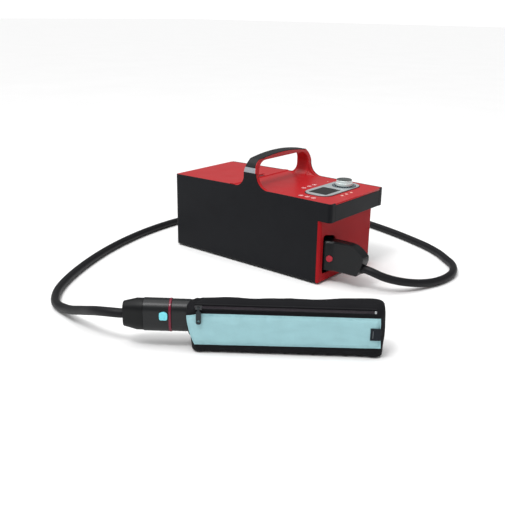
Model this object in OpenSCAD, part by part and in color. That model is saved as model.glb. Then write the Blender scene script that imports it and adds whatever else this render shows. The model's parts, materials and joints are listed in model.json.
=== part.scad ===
// Hot and cold therapy unit: a carried case with an ice box, pumps and a console,
// joined by an insulated hose and a quick connector to a zipped wrap.
// Millimetres. The origin is on the floor under the hand opening. +X is the front, +Z is up.

/* [Case] */
// Length from the back face to the front of the brow
case_l = 418; // [396:1:440]
// Width over both side shells
case_w = 197; // [185:1:210]
// Height of the deck at its front edge
deck_z = 169; // [160:1:180]
// How far the lid's top falls from its front edge to the back
deck_fall = 3; // [0:0.5:4]
// Wall of the case shells
wall = 3; // [2.5:0.5:3.5]
// Radius of the upright corners
corner_r = 7.5; // [6:0.5:10]
// Radius of the lower edges
base_r = 5; // [4:0.5:7]
// How far the brow stands out over the front panel
brow_over = 23; // [18:1:30]
// Height of the brow's front
brow_h = 37; // [33:1:44]
// Height of the case's underside above the floor
foot_h = 2.5; // [1.5:0.5:4]
// Width of each rubber foot strip
foot_w = 14; // [8:1:20]
// Length of each rubber foot strip
foot_l = 150; // [100:5:160]

/* [Handle] */
// Width of the handle along the case
handle_w = 32; // [26:1:38]
// Place of the handle's middle along the case
handle_x = 4; // [-4:1:10]
// Height of the handle's top above the deck
handle_rise = 66.5; // [58:0.5:76]
// Thickness of each leg
leg_t = 10.2; // [9:0.2:13]
// Thickness of the grip
grip_t = 11; // [9:0.5:14]
// Outer corner radius of the handle
handle_r = 36; // [30:1:42]
// Corner radius of the hand opening
hand_r = 20; // [16:1:24]
// Thickness of the outer skin on the handle
skin_t = 2; // [1.5:0.5:3]
// Width of the red lip in front of the grip's skin
lip_w = 1.6; // [1:0.2:3]
// Fillet behind each leg
root_back_r = 24; // [16:1:26]
// Fillet in front of each leg
root_front_r = 30; // [20:1:36]
// Height above the deck where the grey band starts
band_rise = 33; // [28:0.5:38]
// Height of the grey band
band_h = 11; // [8:0.5:14]

/* [Lid and ice box] */
// Distance of the lid's front edge behind the middle of the case
lid_front = 53; // [48:1:60]
// Width of the raised ridge in front of the lid
ridge_w = 13; // [12:0.5:16]
// Height of the ridge over the deck
ridge_h = 1.6; // [1:0.2:2.4]
// Width of the finger notch
notch_w = 60; // [40:2:80]
// Length of the finger notch along the case
notch_l = 9; // [6:1:12]
// Radius of the hinge pin
pin_r = 1.5; // [1.2:0.1:1.8]
// Radius of the hinge knuckles
knuckle_r = 3.3; // [3:0.1:3.5]
// Length of the latch button across the case
latch_l = 24; // [16:1:34]
// Width of the latch button
latch_w = 7; // [5:0.5:8]
// Inside depth of the ice tub
tub_depth = 115; // [95:1:118]
// Wall of the ice tub
tub_t = 2.5; // [2:0.5:3]
// Width of the ice tub across the case
tub_w = 168; // [140:2:172]
// Bore of the tub's outlet
outlet_r = 6; // [4:0.5:8]

/* [Console] */
// Length of the silver plate across the case
plate_l = 140; // [124:1:150]
// Width of the silver plate along the case
plate_w = 62; // [58:1:66]
// Place of the plate's middle along the case
console_x = 136; // [132:1:140]
// Place of the plate's middle across the case
console_y = 12; // [6:1:16]
// Thickness of the silver plate
plate_t = 2; // [1.5:0.5:3]
// Width of the screen window across the case
screen_l = 56; // [46:1:60]
// Height of the screen window along the case
screen_w = 43; // [34:1:46]
// Diameter of the select knob
knob_d = 34; // [28:1:38]
// Height of the select knob
knob_h = 11; // [8:0.5:15]
// Diameter of the dial ring round the knob
dial_d = 50; // [44:1:54]
// Diameter of the knob's shaft
shaft_d = 6; // [5:0.5:8]
// Diameter of each key
key_d = 10; // [8:0.5:12]
// Travel of each key
key_travel = 0.8; // [0.4:0.1:1.2]

/* [Hose fittings] */
// Outer diameter of the insulated hose
hose_d = 16; // [14:0.5:18]
// Thickness of the plug
plug_t = 23; // [22:1:27]
// Height of the plug
plug_h = 61; // [52:1:64]
// Length of the plug outside the front panel
plug_out = 82.5; // [76:0.5:88]
// Depth of the port recess
port_depth = 24; // [18:1:30]
// Height of the inline connector
conn_h = 55; // [46:1:60]
// Thickness of the inline connector
conn_t = 36; // [30:1:40]
// Length of the connector's shell
conn_l = 41; // [36:1:46]
// Length of the connector's rear boot
boot_l = 34; // [28:1:40]

/* [Wrap] */
// Length of the folded wrap
wrap_l = 303; // [270:1:330]
// Height of the folded wrap
wrap_h = 90; // [80:1:100]
// Depth of the folded wrap
wrap_d = 56; // [48:1:66]
// Height of the blue panel
panel_h = 53; // [44:1:58]
// Height of the blue panel's lower edge
panel_z = 16; // [12:1:20]
// Thickness of the blue panel
panel_t = 3; // [2:0.5:4]
// Height of the zip's middle above the floor
zip_z = 80; // [78:0.5:82]
// Width of the zip's chain
chain_w = 5; // [4:0.5:6]

/* [Hidden] */
$fn = 48;
clear = 0.3;
bore_gap = 0.05;
far = 600;

case_set = 3.5;
x_back = -case_l / 2 - case_set;
x_brow = case_l / 2 - case_set;
x_front = x_brow - brow_over;
half_w = case_w / 2;
in_w = half_w - wall;
brow_z = deck_z - brow_h;
floor_z = foot_h + wall;
flange = corner_r + 8.5;
pan_t = 2.5;
pan_z = floor_z + pan_t;
screw_r = 1.65;
head_r = 3.1;
head_t = 1.5;
foot_set = 1.2;
front_wrap = 6;

handle_x0 = handle_x - handle_w / 2;
handle_x1 = handle_x + handle_w / 2;
handle_z = deck_z + handle_rise;
crown = 6;
band_z0 = deck_z + band_rise;
band_z1 = band_z0 + band_h;

deck_t = 3;
lid_x = -lid_front;
back_z = deck_z - deck_fall;
lid_under = back_z - 3.5;
pin_x = x_back + knuckle_r + 2.2;
pin_z = lid_under - knuckle_r - clear;
pin_l = 146;
lug_l = 8;
lug_y = 66;
knuckle_y = 56;
skirt_z = pin_z - 6;
back_top = pin_z - 9.4;
tub_rim_z = lid_under - 2;
tub_x0 = x_back + 19;
tub_x1 = lid_x - 12;
tub_z0 = tub_rim_z - tub_depth - tub_t;
rim_w = 0.35 * (in_w - tub_w / 2);
rim_t = 2.5;
gasket_w = rim_w;
outlet_z = tub_z0 + tub_t + outlet_r + 4;
outlet_y = -30;
latch_x = lid_x + ridge_w / 2;

plate_z = deck_z + plate_t;
plate_r = 24;
screen_x = console_x;
screen_y = console_y - plate_l / 2 + screen_l / 2 + 12;
knob_x = console_x + 4;
knob_y = console_y + plate_l / 2 - dial_d / 2 - 9;
dial_t = 1.2;
knob_push = 0.8;
knob_z = plate_z + 0.4 + knob_push + clear;
key_up = 0.7;
key_x0 = console_x - plate_w / 2 - 18;
key_y0 = console_y - plate_l / 2 - 20;
key_rows = [[key_x0, -22], [key_x0, -3], [key_x0, 16],
            [120, key_y0], [135, key_y0], [150, key_y0]];
lamp_x = console_x + plate_w / 2 + 13;
lamp_y = [-21, -5, 13];
lamp_r = 3.1;
dot_r = 1.6;
dot_places = [[key_x0 + 3, 62], [key_x0 + 15, 68]];
board_z = deck_z - deck_t - 9;
board_t = 1.6;
board_x0 = key_x0 + key_d / 2 + 2;
board_x1 = lamp_x - 2;
board_y0 = key_y0 - 6;
board_y1 = console_y + plate_l / 2 + 4;
board_post = 8;

plug_y0 = -70;
plug_z0 = 27;
port_y0 = plug_y0 - 15;
port_y1 = plug_y0 + plug_t + 5;
port_z0 = plug_z0 - 7;
port_z1 = plug_z0 + plug_h + 12;
plug_x0 = x_front - port_depth + 3;
plug_x1 = x_front + plug_out;
nipple_r = 4;
nipple_y = plug_y0 + plug_t / 2;
nipple_zs = [plug_z0 + 13, plug_z0 + 28, plug_z0 + 43];
hose_end = [262, plug_y0 + plug_t / 2, 43];

wrap_at = [200, -475];
wrap_turn = 37;
conn_v = 28;
conn_z = 53;
conn_u = -112;
shell_u = conn_u + boot_l;
ring_u = shell_u + conn_l;
ring_l = 4;
coupler_l = 30;
button_d = 14;
press_u = ring_u - 8;
press_z = conn_z + 5;
zip_u0 = 6;
zip_u1 = wrap_l - 16;
chain_t = 1.2;
neck_w = 2;
neck_t = 1.2;
tape_v = -0.8;
chain_v = tape_v - neck_t - chain_t;
slide_gap = 0.2;
slider_l = 13;
slider_v = chain_v - slide_gap;
pull_u = zip_u0 + slider_l / 2;
pull_v = slider_v - 3.2;
pull_pin = 0.6;
pull_l = 27;

// Route of the hose from the plug to the connector, chosen by hand along the floor
hose_route = [
    hose_end, [270, -58.5, 42.8], [281, -56.5, 40.3], [301, -45, 31.5], [321, -24, 23],
    [338, 3, 16], [351, 33, 10.8], [360, 60, 8.7], [365, 90, 8.2], [364, 122, 8.2],
    [355, 152, 8.2], [338, 180, 8.2], [312, 205, 8.2], [281, 232, 8.2], [240, 257, 8.2],
    [200, 275, 8.2], [155, 293, 8.2], [105, 310, 8.2], [45, 326, 8.2], [-25, 336, 8.2],
    [-95, 334, 8.2], [-160, 316, 8.2], [-217, 282, 8.2], [-262, 234, 8.2], [-294, 175, 8.2],
    [-315, 110, 8.2], [-326, 40, 8.2], [-326, -35, 8.2], [-317, -110, 8.2], [-299, -188, 8.2],
    [-275, -260, 8.2], [-243, -333, 8.2], [-204, -405, 8.2], [-162, -464, 8.2],
    [-112, -505, 9], [-58, -519, 16], [-5, -528, 32], [40, -535, 46.5], [72, -532, 52.6],
    [87.3, -524.8, 53], [93.7, -520, 53]
];

// ---- shared shapes ----

module slab(x0, x1, y0, y1, z0, z1) {
    translate([x0, y0, z0]) cube([x1 - x0, y1 - y0, z1 - z0]);
}

module round_rect(x0, x1, y0, y1, r) {
    translate([x0 + r, y0]) square([x1 - x0 - 2 * r, y1 - y0]);
    translate([x0, y0 + r]) square([x1 - x0, y1 - y0 - 2 * r]);
    for (x = [x0 + r, x1 - r], y = [y0 + r, y1 - r]) translate([x, y]) circle(r);
}

// A drawing in X and Z, drawn out from y0 to y1
module along_y(y0, y1) {
    translate([0, y1, 0]) rotate([90, 0, 0]) linear_extrude(y1 - y0) children();
}

// A drawing in Y and Z, drawn out from x0 to x1
module along_x(x0, x1) {
    translate([x0, 0, 0]) rotate([90, 0, 90]) linear_extrude(x1 - x0) children();
}

module along_z(z0, z1) {
    translate([0, 0, z0]) linear_extrude(z1 - z0) children();
}

module rod_x(x0, x1, y, z, r) {
    translate([x0, y, z]) rotate([0, 90, 0]) cylinder(h = x1 - x0, r = r);
}

module rod_y(y0, y1, x, z, r) {
    translate([x, y0, z]) rotate([-90, 0, 0]) cylinder(h = y1 - y0, r = r);
}

module rod_z(z0, z1, x, y, r) {
    translate([x, y, z0]) cylinder(h = z1 - z0, r = r);
}

// ---- case ----

module top_line() {
    polygon([[x_back - 1, -1], [x_brow + 1, -1], [x_brow + 1, deck_z], [lid_x, deck_z],
             [x_back - 1, back_z]]);
}

// The case as a block, drawn in by i on every face, open above when i > 0
module case_block(i) {
    up = i > 0 ? deck_z + 20 : deck_z;
    intersection() {
        along_y(-far, far) round_rect(x_back + i, x_front - i, foot_h + i, up + 20, base_r);
        along_x(-far, far) round_rect(-half_w + i, half_w - i, foot_h + i, up + 20, base_r);
        along_z(0, up) round_rect(x_back + i, x_front - i, -half_w + i, half_w - i, corner_r - i);
    }
}

module brow_block(i) {
    up = i > 0 ? deck_z + 20 : deck_z;
    along_z(brow_z + i, up)
        round_rect(x_back + i, x_brow - i, -half_w + i, half_w - i, corner_r - i);
}

module body_shell() {
    difference() {
        case_block(0);
        case_block(wall);
    }
}

module case_shell() {
    difference() {
        intersection() {
            union() {
                case_block(0);
                intersection() {
                    brow_block(0);
                    slab(x_front - 30, far, -far, far, 0, far);
                }
            }
            along_y(-far, far) top_line();
        }
        case_block(wall);
        intersection() {
            brow_block(wall);
            slab(x_front - 40, far, -far, far, 0, far);
        }
    }
}

// Outline of the handle in Y and Z, drawn in by i
module arch_outline(i) {
    top = handle_z - i;
    half = half_w - i;
    reach = half_w - handle_r;
    big = (reach * reach + crown * crown) / (2 * crown);
    intersection() {
        round_rect(-half, half, deck_z - handle_rise, top, handle_r - i);
        translate([0, top - big]) circle(big, $fn = 360);
        translate([-half, deck_z]) square([2 * half, handle_rise]);
    }
}

module hand_window() {
    round_rect(-half_w + leg_t, half_w - leg_t, deck_z, handle_z - grip_t, hand_r);
}

module root_fillet(x, r, side) {
    translate([x, deck_z]) mirror([side < 0 ? 1 : 0, 0]) difference() {
        translate([-0.5, 0]) square([r + 0.5, r]);
        translate([r, r]) circle(r);
    }
}

module handle_skin(z0, z1, x1) {
    intersection() {
        along_x(handle_x0, x1) difference() {
            arch_outline(0);
            arch_outline(skin_t);
        }
        slab(-far, far, -far, far, z0, z1);
    }
}

module side_shell(s) {
    lid_cut_x = x_back + corner_r + 10;
    difference() {
        intersection() {
            case_shell();
            if (s < 0) slab(-far, far, -far, -half_w + flange, 0, far);
            else slab(-far, far, half_w - flange, far, 0, far);
        }
        slab(x_front - front_wrap, far, -far, far, 0, brow_z);
        slab(x_back - 1, lid_cut_x, -in_w, in_w, back_top, far);
        for (p = screw_places()) {
            rod_z(-1, far, p[0], p[1], screw_r + 0.1);
            rod_z(-1, foot_h + head_t, p[0], p[1], head_r + 0.1);
        }
    }
    intersection() {
        handle_skin(deck_z, band_z0, handle_x1);
        slab(-far, far, s < 0 ? -far : 0, s < 0 ? 0 : far, 0, far);
    }
    y_out = s * half_w;
    y_in = s * (half_w - skin_t);
    along_y(min(y_out, y_in), max(y_out, y_in)) {
        root_fillet(handle_x1, root_front_r, 1);
        root_fillet(handle_x0, root_back_r, -1);
    }
}

module side_shell_near() {
    color("#212226") side_shell(-1);
}

module side_shell_far() {
    color("#212226") side_shell(1);
}

module vent_slots(t) {
    for (k = [0:6]) slab(x_back - 1, x_back + t + 1, -52, -8, 62 + k * 8, 66 + k * 8);
}

module back_panel() {
    color("#1d1e21") {
        difference() {
            intersection() {
                case_shell();
                slab(x_back - 1, x_back + wall, -half_w + flange, half_w - flange,
                     foot_h + base_r, back_top);
            }
            vent_slots(wall);
            along_x(x_back - 1, x_back + wall + 1) round_rect(24, 50, 34, 54, 3);
            along_x(x_back - 1, x_back + wall + 1) round_rect(56, 74, 32, 56, 2);
        }
        for (s = [-1, 1]) difference() {
            union() {
                rod_y(s * lug_y - lug_l / 2, s * lug_y + lug_l / 2, pin_x, pin_z, knuckle_r);
                slab(x_back + wall, pin_x + knuckle_r, s * lug_y - lug_l / 2,
                     s * lug_y + lug_l / 2, back_top - 14, pin_z);
                // root of the lug in the panel, below the sweep of the open lid
                slab(x_back + wall / 2, x_back + wall + 1, s * lug_y - lug_l / 2,
                     s * lug_y + lug_l / 2, back_top - 14, back_top - 1);
            }
            rod_y(s * lug_y - lug_l, s * lug_y + lug_l, pin_x, pin_z, pin_r);
        }
    }
}

function foot_places() = [x_back + 32, 0, x_front - 32];
function screw_places() = [for (x = [x_back + 50, -50, 50, x_front - 50],
                                s = [-1, 1]) [x, s * (in_w - base_r - head_r - 0.4)]];

module base_pan() {
    pan_w = in_w - base_r;
    color("#1d1e21") difference() {
        union() {
            intersection() {
                body_shell();
                slab(x_back - 1, x_front - front_wrap, -half_w + flange, half_w - flange,
                     0, foot_h + base_r);
            }
            slab(x_back + wall, x_front - front_wrap, -half_w + flange, half_w - flange,
                 foot_h + 1, pan_z);
            slab(x_back + wall + base_r, x_front - front_wrap, -pan_w, pan_w, floor_z, pan_z);
            for (p = screw_places()) rod_z(pan_z - 1, pan_z + 7, p[0], p[1], head_r + 0.4);
            for (x = [tub_x0 + 12, tub_x1 - 18]) slab(x, x + wall, -64, 64, pan_z, tub_z0);
        }
        for (x = foot_places()) slab(x - foot_w / 2, x + foot_w / 2, -foot_l / 2, foot_l / 2,
                                     -1, foot_h + foot_set);
        for (p = screw_places()) rod_z(-1, pan_z + 6, p[0], p[1], screw_r);
    }
}

module foot_strips() {
    color("#141414") for (x = foot_places())
        slab(x - foot_w / 2, x + foot_w / 2, -foot_l / 2, foot_l / 2, 0, foot_h + foot_set);
}

module base_screws() {
    color("silver") for (p = screw_places()) {
        rod_z(foot_h + head_t - 0.5, pan_z + 5, p[0], p[1], screw_r);
        difference() {
            rod_z(foot_h, foot_h + head_t, p[0], p[1], head_r);
            translate([p[0], p[1], foot_h - 0.1]) cylinder(h = 1, r = 1.4, $fn = 6);
        }
    }
}

// The recess opening in Y and Z: its top falls a little inwards
module port_opening(g) {
    polygon([[port_y0 - g, port_z0 + 4], [port_y0 - g, port_z1 - 7], [port_y0 + 2, port_z1 - 2 + g],
             [port_y0 + 7, port_z1 + g], [port_y1 - 5, port_z1 - 7 + g],
             [port_y1 + g, port_z1 - 12], [port_y1 + g, port_z0 + 4], [port_y1 - 4, port_z0 - g],
             [port_y0 + 4, port_z0 - g]]);
}

module front_panel() {
    color("#8a1a20") difference() {
        intersection() {
            body_shell();
            slab(x_front - front_wrap, x_front + 1, -far, far, 0, brow_z);
        }
        along_x(x_front - wall - 3, x_front + 1) port_opening(0);
    }
}

module brow_front() {
    color("#212226") difference() {
        union() {
            slab(x_brow - wall, x_brow, -half_w + flange, half_w - flange,
                 brow_z, deck_z - deck_t);
            slab(x_front - 2, x_brow - wall, -half_w + flange, half_w - flange,
                 brow_z, brow_z + wall);
        }
    }
}

module deck_openings() {
    along_z(deck_z - 9, far) translate([screen_x, screen_y])
        round_rect(-screen_w / 2 - 0.1, screen_w / 2 + 0.1, -screen_l / 2 - 0.1,
                   screen_l / 2 + 0.1, 3);
    rod_z(deck_z - 9, far, knob_x, knob_y, shaft_d / 2 + 3);
    for (k = key_rows) rod_z(deck_z - 9, far, k[0], k[1], key_d / 2 + clear);
    for (y = lamp_y) rod_z(deck_z - 9, far, lamp_x, y, lamp_r + 0.1);
    for (p = dot_places) rod_z(deck_z - 9, far, p[0], p[1], dot_r + 0.1);
}

module top_deck() {
    color("#c23036") difference() {
        union() {
            // plate between the side shells, its front edge over the brow
            intersection() {
                along_z(deck_z - deck_t, deck_z) union() {
                    round_rect(x_back, x_brow - wall, -in_w, in_w, corner_r - wall);
                    translate([0, -half_w + flange]) square([x_brow, case_w - 2 * flange]);
                }
                slab(lid_x, far, -far, far, 0, far);
            }
            // ridge in front of the lid
            along_y(-in_w, in_w)
                round_rect(lid_x, lid_x + ridge_w, deck_z - deck_t, deck_z + ridge_h, ridge_h);
            // arch of the handle, with its roots
            along_x(handle_x0, handle_x1) difference() {
                arch_outline(skin_t);
                hand_window();
            }
            // lip in front of the bands and the grip
            intersection() {
                along_x(handle_x1 - lip_w, handle_x1) difference() {
                    arch_outline(0);
                    hand_window();
                }
                slab(-far, far, -far, far, band_z0, far);
            }
            for (s = [-1, 1]) {
                y_a = s * (half_w - skin_t);
                y_b = s * (half_w - leg_t);
                along_y(min(y_a, y_b), max(y_a, y_b)) {
                    root_fillet(handle_x1, root_front_r, 1);
                    root_fillet(handle_x0, root_back_r, -1);
                }
            }
            // posts that carry the control board
            for (x = [board_x0 + board_post, board_x1 - board_post],
                 y = [board_y0 + board_post, board_y1 - board_post])
                rod_z(board_z + board_t, deck_z - 0.5, x, y, 3);
        }
        deck_openings();
        slab(latch_x - latch_w / 2 - clear, latch_x + latch_w / 2 + clear, -latch_l / 2 - clear,
             latch_l / 2 + clear, 0, far);
    }
}

module handle_grip() {
    color("#2b2d31") handle_skin(band_z1, far, handle_x1 - lip_w);
}

module handle_band_near() {
    color("#9aa3a6") intersection() {
        handle_skin(band_z0, band_z1, handle_x1 - lip_w);
        slab(-far, far, -far, 0, 0, far);
    }
}

module handle_band_far() {
    color("#9aa3a6") intersection() {
        handle_skin(band_z0, band_z1, handle_x1 - lip_w);
        slab(-far, far, 0, far, 0, far);
    }
}

// ---- lid and ice box ----

module ice_lid() {
    lid_w = in_w - clear;
    color("#c23036") difference() {
        union() {
            intersection() {
                along_z(lid_under, deck_z) round_rect(x_back, 0, -half_w, half_w, corner_r);
                along_y(-lid_w, lid_w) top_line();
                slab(x_back - 1, lid_x - 0.4, -far, far, 0, far);
            }
            // skirt down the back
            intersection() {
                along_z(skirt_z, lid_under + 1) difference() {
                    round_rect(x_back, 0, -half_w, half_w, corner_r);
                    round_rect(x_back + 2.2, 10, -half_w + 2.2, half_w - 2.2, corner_r - 2.2);
                }
                slab(x_back - 1, x_back + 6, -lid_w, lid_w, 0, far);
            }
            for (s = [-1, 1]) {
                rod_y(s * knuckle_y - 4, s * knuckle_y + 4, pin_x, pin_z, knuckle_r);
                slab(pin_x - 1.5, pin_x + 3, s * knuckle_y - 4, s * knuckle_y + 4,
                     pin_z, lid_under + 1);
            }
        }
        slab(lid_x - 0.4 - notch_l, lid_x + 1, -notch_w / 2, notch_w / 2, lid_under + 2, far);
        for (s = [-1, 1]) {
            rod_y(s * knuckle_y - 5, s * knuckle_y + 5, pin_x, pin_z, pin_r + bore_gap);
            // gap in the skirt round each lug of the back panel
            slab(x_back - 1, pin_x + 8, s * lug_y - lug_l / 2 - 0.7, s * lug_y + lug_l / 2 + 0.7,
                 0, lid_under);
        }
    }
}

module lid_gasket() {
    color("#3a3d40") along_z(tub_rim_z + clear, lid_under) difference() {
        round_rect(tub_x0 - gasket_w, tub_x1 + gasket_w, -tub_w / 2 - gasket_w,
                   tub_w / 2 + gasket_w, 10);
        round_rect(tub_x0, tub_x1, -tub_w / 2, tub_w / 2, 6);
    }
}

module hinge_pin() {
    color("silver") rod_y(-pin_l / 2, pin_l / 2, pin_x, pin_z, pin_r);
}

module lid_latch() {
    color("#5c1418") {
        slab(latch_x - latch_w / 2, latch_x + latch_w / 2, -latch_l / 2, latch_l / 2,
             deck_z - deck_t - 4, deck_z + ridge_h + 0.6);
        slab(latch_x - latch_w / 2 - 1.2, latch_x + latch_w / 2 + 1.2, -latch_l / 2 + 2,
             latch_l / 2 - 2, deck_z - deck_t - 4, deck_z - deck_t - 0.3);
    }
}

module ice_tub() {
    color("#e6e9e8") difference() {
        union() {
            along_z(tub_z0, tub_rim_z)
                round_rect(tub_x0, tub_x1, -tub_w / 2, tub_w / 2, 9);
            along_z(tub_rim_z - rim_t, tub_rim_z)
                round_rect(tub_x0 - rim_w, tub_x1 + rim_w, -tub_w / 2 - rim_w, tub_w / 2 + rim_w,
                           11);
            rod_x(tub_x1 - 1, tub_x1 + 12, outlet_y, outlet_z, outlet_r + 2);
        }
        along_z(tub_z0 + tub_t, far)
            round_rect(tub_x0 + tub_t, tub_x1 - tub_t, -tub_w / 2 + tub_t, tub_w / 2 - tub_t, 7);
        rod_x(tub_x1 - 10, tub_x1 + 13, outlet_y, outlet_z, outlet_r);
    }
}

module outlet_filter() {
    color("#b8bcbe") difference() {
        rod_x(tub_x1 - tub_t - 2.5, tub_x1 - tub_t, outlet_y, outlet_z, outlet_r + 3);
        rod_x(tub_x1 - tub_t - 1.5, tub_x1, outlet_y, outlet_z, outlet_r);
        for (a = [0:60:300]) rod_x(tub_x1 - 9, tub_x1, outlet_y + 3.6 * cos(a),
                                   outlet_z + 3.6 * sin(a), 1.2);
    }
}

// ---- pumps, valves and tubes ----
pump_x0 = tub_x1 + 34;
pump_z = outlet_z;
pump_r = 18;
pump_l = 60;
air_x0 = pump_x0 + 6;
air_y = 46;
air_z = pan_z + 17;
valve_x0 = x_front - 76;
valve_x1 = x_front - port_depth - 24;
valve_h = 72;
coil_h = 28;
coil_r = 11;
coil_ys = [10, 40];

module water_pump() {
    color("#3d4247") difference() {
        union() {
            rod_x(pump_x0, pump_x0 + pump_l, outlet_y, pump_z, pump_r);
            rod_x(pump_x0 - 9, pump_x0, outlet_y, pump_z, outlet_r);
            rod_x(pump_x0 + pump_l, pump_x0 + pump_l + 9, outlet_y, pump_z, outlet_r);
            slab(pump_x0 + 8, pump_x0 + pump_l - 8, outlet_y - 24, outlet_y + 24, pan_z,
                 pump_z - 12);
        }
        rod_x(pump_x0 - 10, pump_x0 + 4, outlet_y, pump_z, outlet_r - 2);
        rod_x(pump_x0 + pump_l - 4, pump_x0 + pump_l + 10, outlet_y, pump_z, outlet_r - 2);
    }
}

module air_pump() {
    color("#4a4f54") {
        slab(air_x0, air_x0 + 64, air_y - 20, air_y + 20, pan_z, pan_z + 30);
        rod_z(pan_z + 30, pan_z + 46, air_x0 + 20, air_y, 15);
        rod_x(air_x0 + 64, air_x0 + 72, air_y, air_z, 3);
    }
}

module valve_block() {
    color("#2f3c46") {
        slab(valve_x0, valve_x1, plug_y0 - 4, coil_ys[1] + coil_r + 7, pan_z, pan_z + valve_h);
        for (y = coil_ys) rod_z(pan_z + valve_h, pan_z + valve_h + coil_h, valve_x0 + 16, y, coil_r);
    }
}

module tube_x(x0, x1, y, z, r_out, r_in) {
    difference() {
        rod_x(x0, x1, y, z, r_out);
        rod_x(x0 - 1, x1 + 1, y, z, r_in);
    }
}

module suction_tube() {
    color("#d9dee0", 0.7) tube_x(tub_x1 + 12, pump_x0 - 9, outlet_y, pump_z, outlet_r + 2,
                                 outlet_r - 1.5);
}

module water_tubes() {
    color("#d9dee0", 0.7) {
        tube_x(pump_x0 + pump_l + 9, valve_x0, outlet_y, pump_z, outlet_r + 2, outlet_r - 1.5);
        for (z = [nipple_zs[0], nipple_zs[1]])
            tube_x(valve_x1, x_front - port_depth - 12, nipple_y, z, 5.5, 3.5);
    }
}

module air_tube() {
    color("#c9ced1", 0.7) {
        tube_x(air_x0 + 64, valve_x0, air_y, air_z, 5, 3);
        tube_x(valve_x1, x_front - port_depth - 12, nipple_y, nipple_zs[2], 4.5, 2.5);
    }
}

// ---- console ----

module control_board() {
    color("#1d5a34") difference() {
        slab(board_x0, board_x1, board_y0, board_y1, board_z, board_z + board_t);
        rod_z(board_z - 1, board_z + 3, knob_x, knob_y, shaft_d / 2 + 1);
    }
}

module screen_module() {
    color("#30363b") slab(screen_x - screen_w / 2 + 1, screen_x + screen_w / 2 - 1,
                          screen_y - screen_l / 2 + 1, screen_y + screen_l / 2 - 1,
                          board_z + board_t, deck_z - 0.5);
}

module screen_lens() {
    color("#0c1218") along_z(deck_z - 0.5, plate_z - 0.4) translate([screen_x, screen_y])
        round_rect(-screen_w / 2, screen_w / 2, -screen_l / 2, screen_l / 2, 3);
}

module console_plate() {
    color("#a3a9ab") difference() {
        along_z(deck_z, plate_z) translate([console_x, console_y])
            round_rect(-plate_w / 2, plate_w / 2, -plate_l / 2, plate_l / 2, plate_r);
        deck_openings();
        rod_z(plate_z - dial_t, far, knob_x, knob_y, dial_d / 2);
    }
}

module dial_ring() {
    color("#3c4a55") difference() {
        rod_z(plate_z - dial_t, plate_z + 0.4, knob_x, knob_y, dial_d / 2);
        rod_z(0, far, knob_x, knob_y, shaft_d / 2 + 3);
    }
}

module select_knob() {
    color("#dfe6e4") difference() {
        translate([knob_x, knob_y, knob_z]) rotate_extrude() polygon([
            [0, 0], [knob_d / 2, 0], [knob_d / 2, knob_h * 0.45], [knob_d / 2 - 1.5, knob_h * 0.6],
            [knob_d / 2 - 2.2, knob_h - 1.2], [knob_d / 2 - 3.4, knob_h], [0, knob_h]]);
        rod_z(knob_z - 1, knob_z + knob_h - 3, knob_x, knob_y, shaft_d / 2 + bore_gap);
    }
}

module knob_shaft() {
    color("silver") {
        rod_z(board_z + 2 * board_t, knob_z + knob_h - 3 - bore_gap, knob_x, knob_y, shaft_d / 2);
    }
}

module encoder_body() {
    color("#50565b") difference() {
        slab(knob_x - 8, knob_x + 8, knob_y - 8, knob_y + 8, board_z + board_t, deck_z - deck_t);
        rod_z(board_z, far, knob_x, knob_y, shaft_d / 2 + bore_gap);
    }
}

module key_cap(k) {
    p = key_rows[k];
    color("#e9b9bb") {
        rod_z(deck_z - deck_t - 1.4, deck_z + key_up, p[0], p[1], key_d / 2);
        rod_z(deck_z - deck_t - 1.4, deck_z - deck_t - 0.1, p[0], p[1], key_d / 2 + 1);
        rod_z(board_z + board_t + key_travel + 0.2, deck_z - deck_t - 1.4, p[0], p[1], 2);
    }
}

module key_1() { key_cap(0); }
module key_2() { key_cap(1); }
module key_3() { key_cap(2); }
module key_4() { key_cap(3); }
module key_5() { key_cap(4); }
module key_6() { key_cap(5); }

module lamp(x, y, r) {
    rod_z(deck_z - deck_t - 1, deck_z + 0.4, x, y, r);
    rod_z(deck_z - deck_t - 2, deck_z - deck_t, x, y, r + 1);
}

module lamp_windows() {
    color("#f0b49a") {
        for (y = lamp_y) lamp(lamp_x, y, lamp_r);
        for (p = dot_places) lamp(p[0], p[1], dot_r);
    }
}

// ---- power at the back ----

module power_inlet() {
    color("#101113") difference() {
        along_x(x_back, x_back + 18) round_rect(24, 50, 34, 54, 3);
        rod_x(x_back - 1, x_back + 14, 37, 44, 5.5);
    }
}

rocker_z = 44;
rocker_y = 65;
rocker_tilt = 8;
module power_rocker() {
    color("#17181a") {
        along_y(rocker_y - 8.4, rocker_y + 8.4) translate([x_back + 7, rocker_z])
            rotate([0, 0, rocker_tilt])
                polygon([[-1, -7.5], [-7.6, -9.6], [-8.3, 0], [-7.6, 9.6], [-1, 7.5]]);
        rod_y(rocker_y - 9, rocker_y + 9, x_back + 7, rocker_z, 2.5);
    }
}

// ---- hose fittings ----

module port_housing() {
    x_floor = x_front - port_depth - 3;
    color("#0e0f11") difference() {
        along_x(x_floor, x_front - wall) port_opening(2.5);
        along_x(x_front - port_depth, x_front) port_opening(0);
        for (z = nipple_zs) rod_x(x_floor - 1, x_front, nipple_y, z, nipple_r);
    }
}

module port_nipples() {
    color("#b9bec1") for (z = nipple_zs)
        tube_x(x_front - port_depth - 12, x_front - port_depth + 9, nipple_y, z, nipple_r, 2);
}

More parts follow.
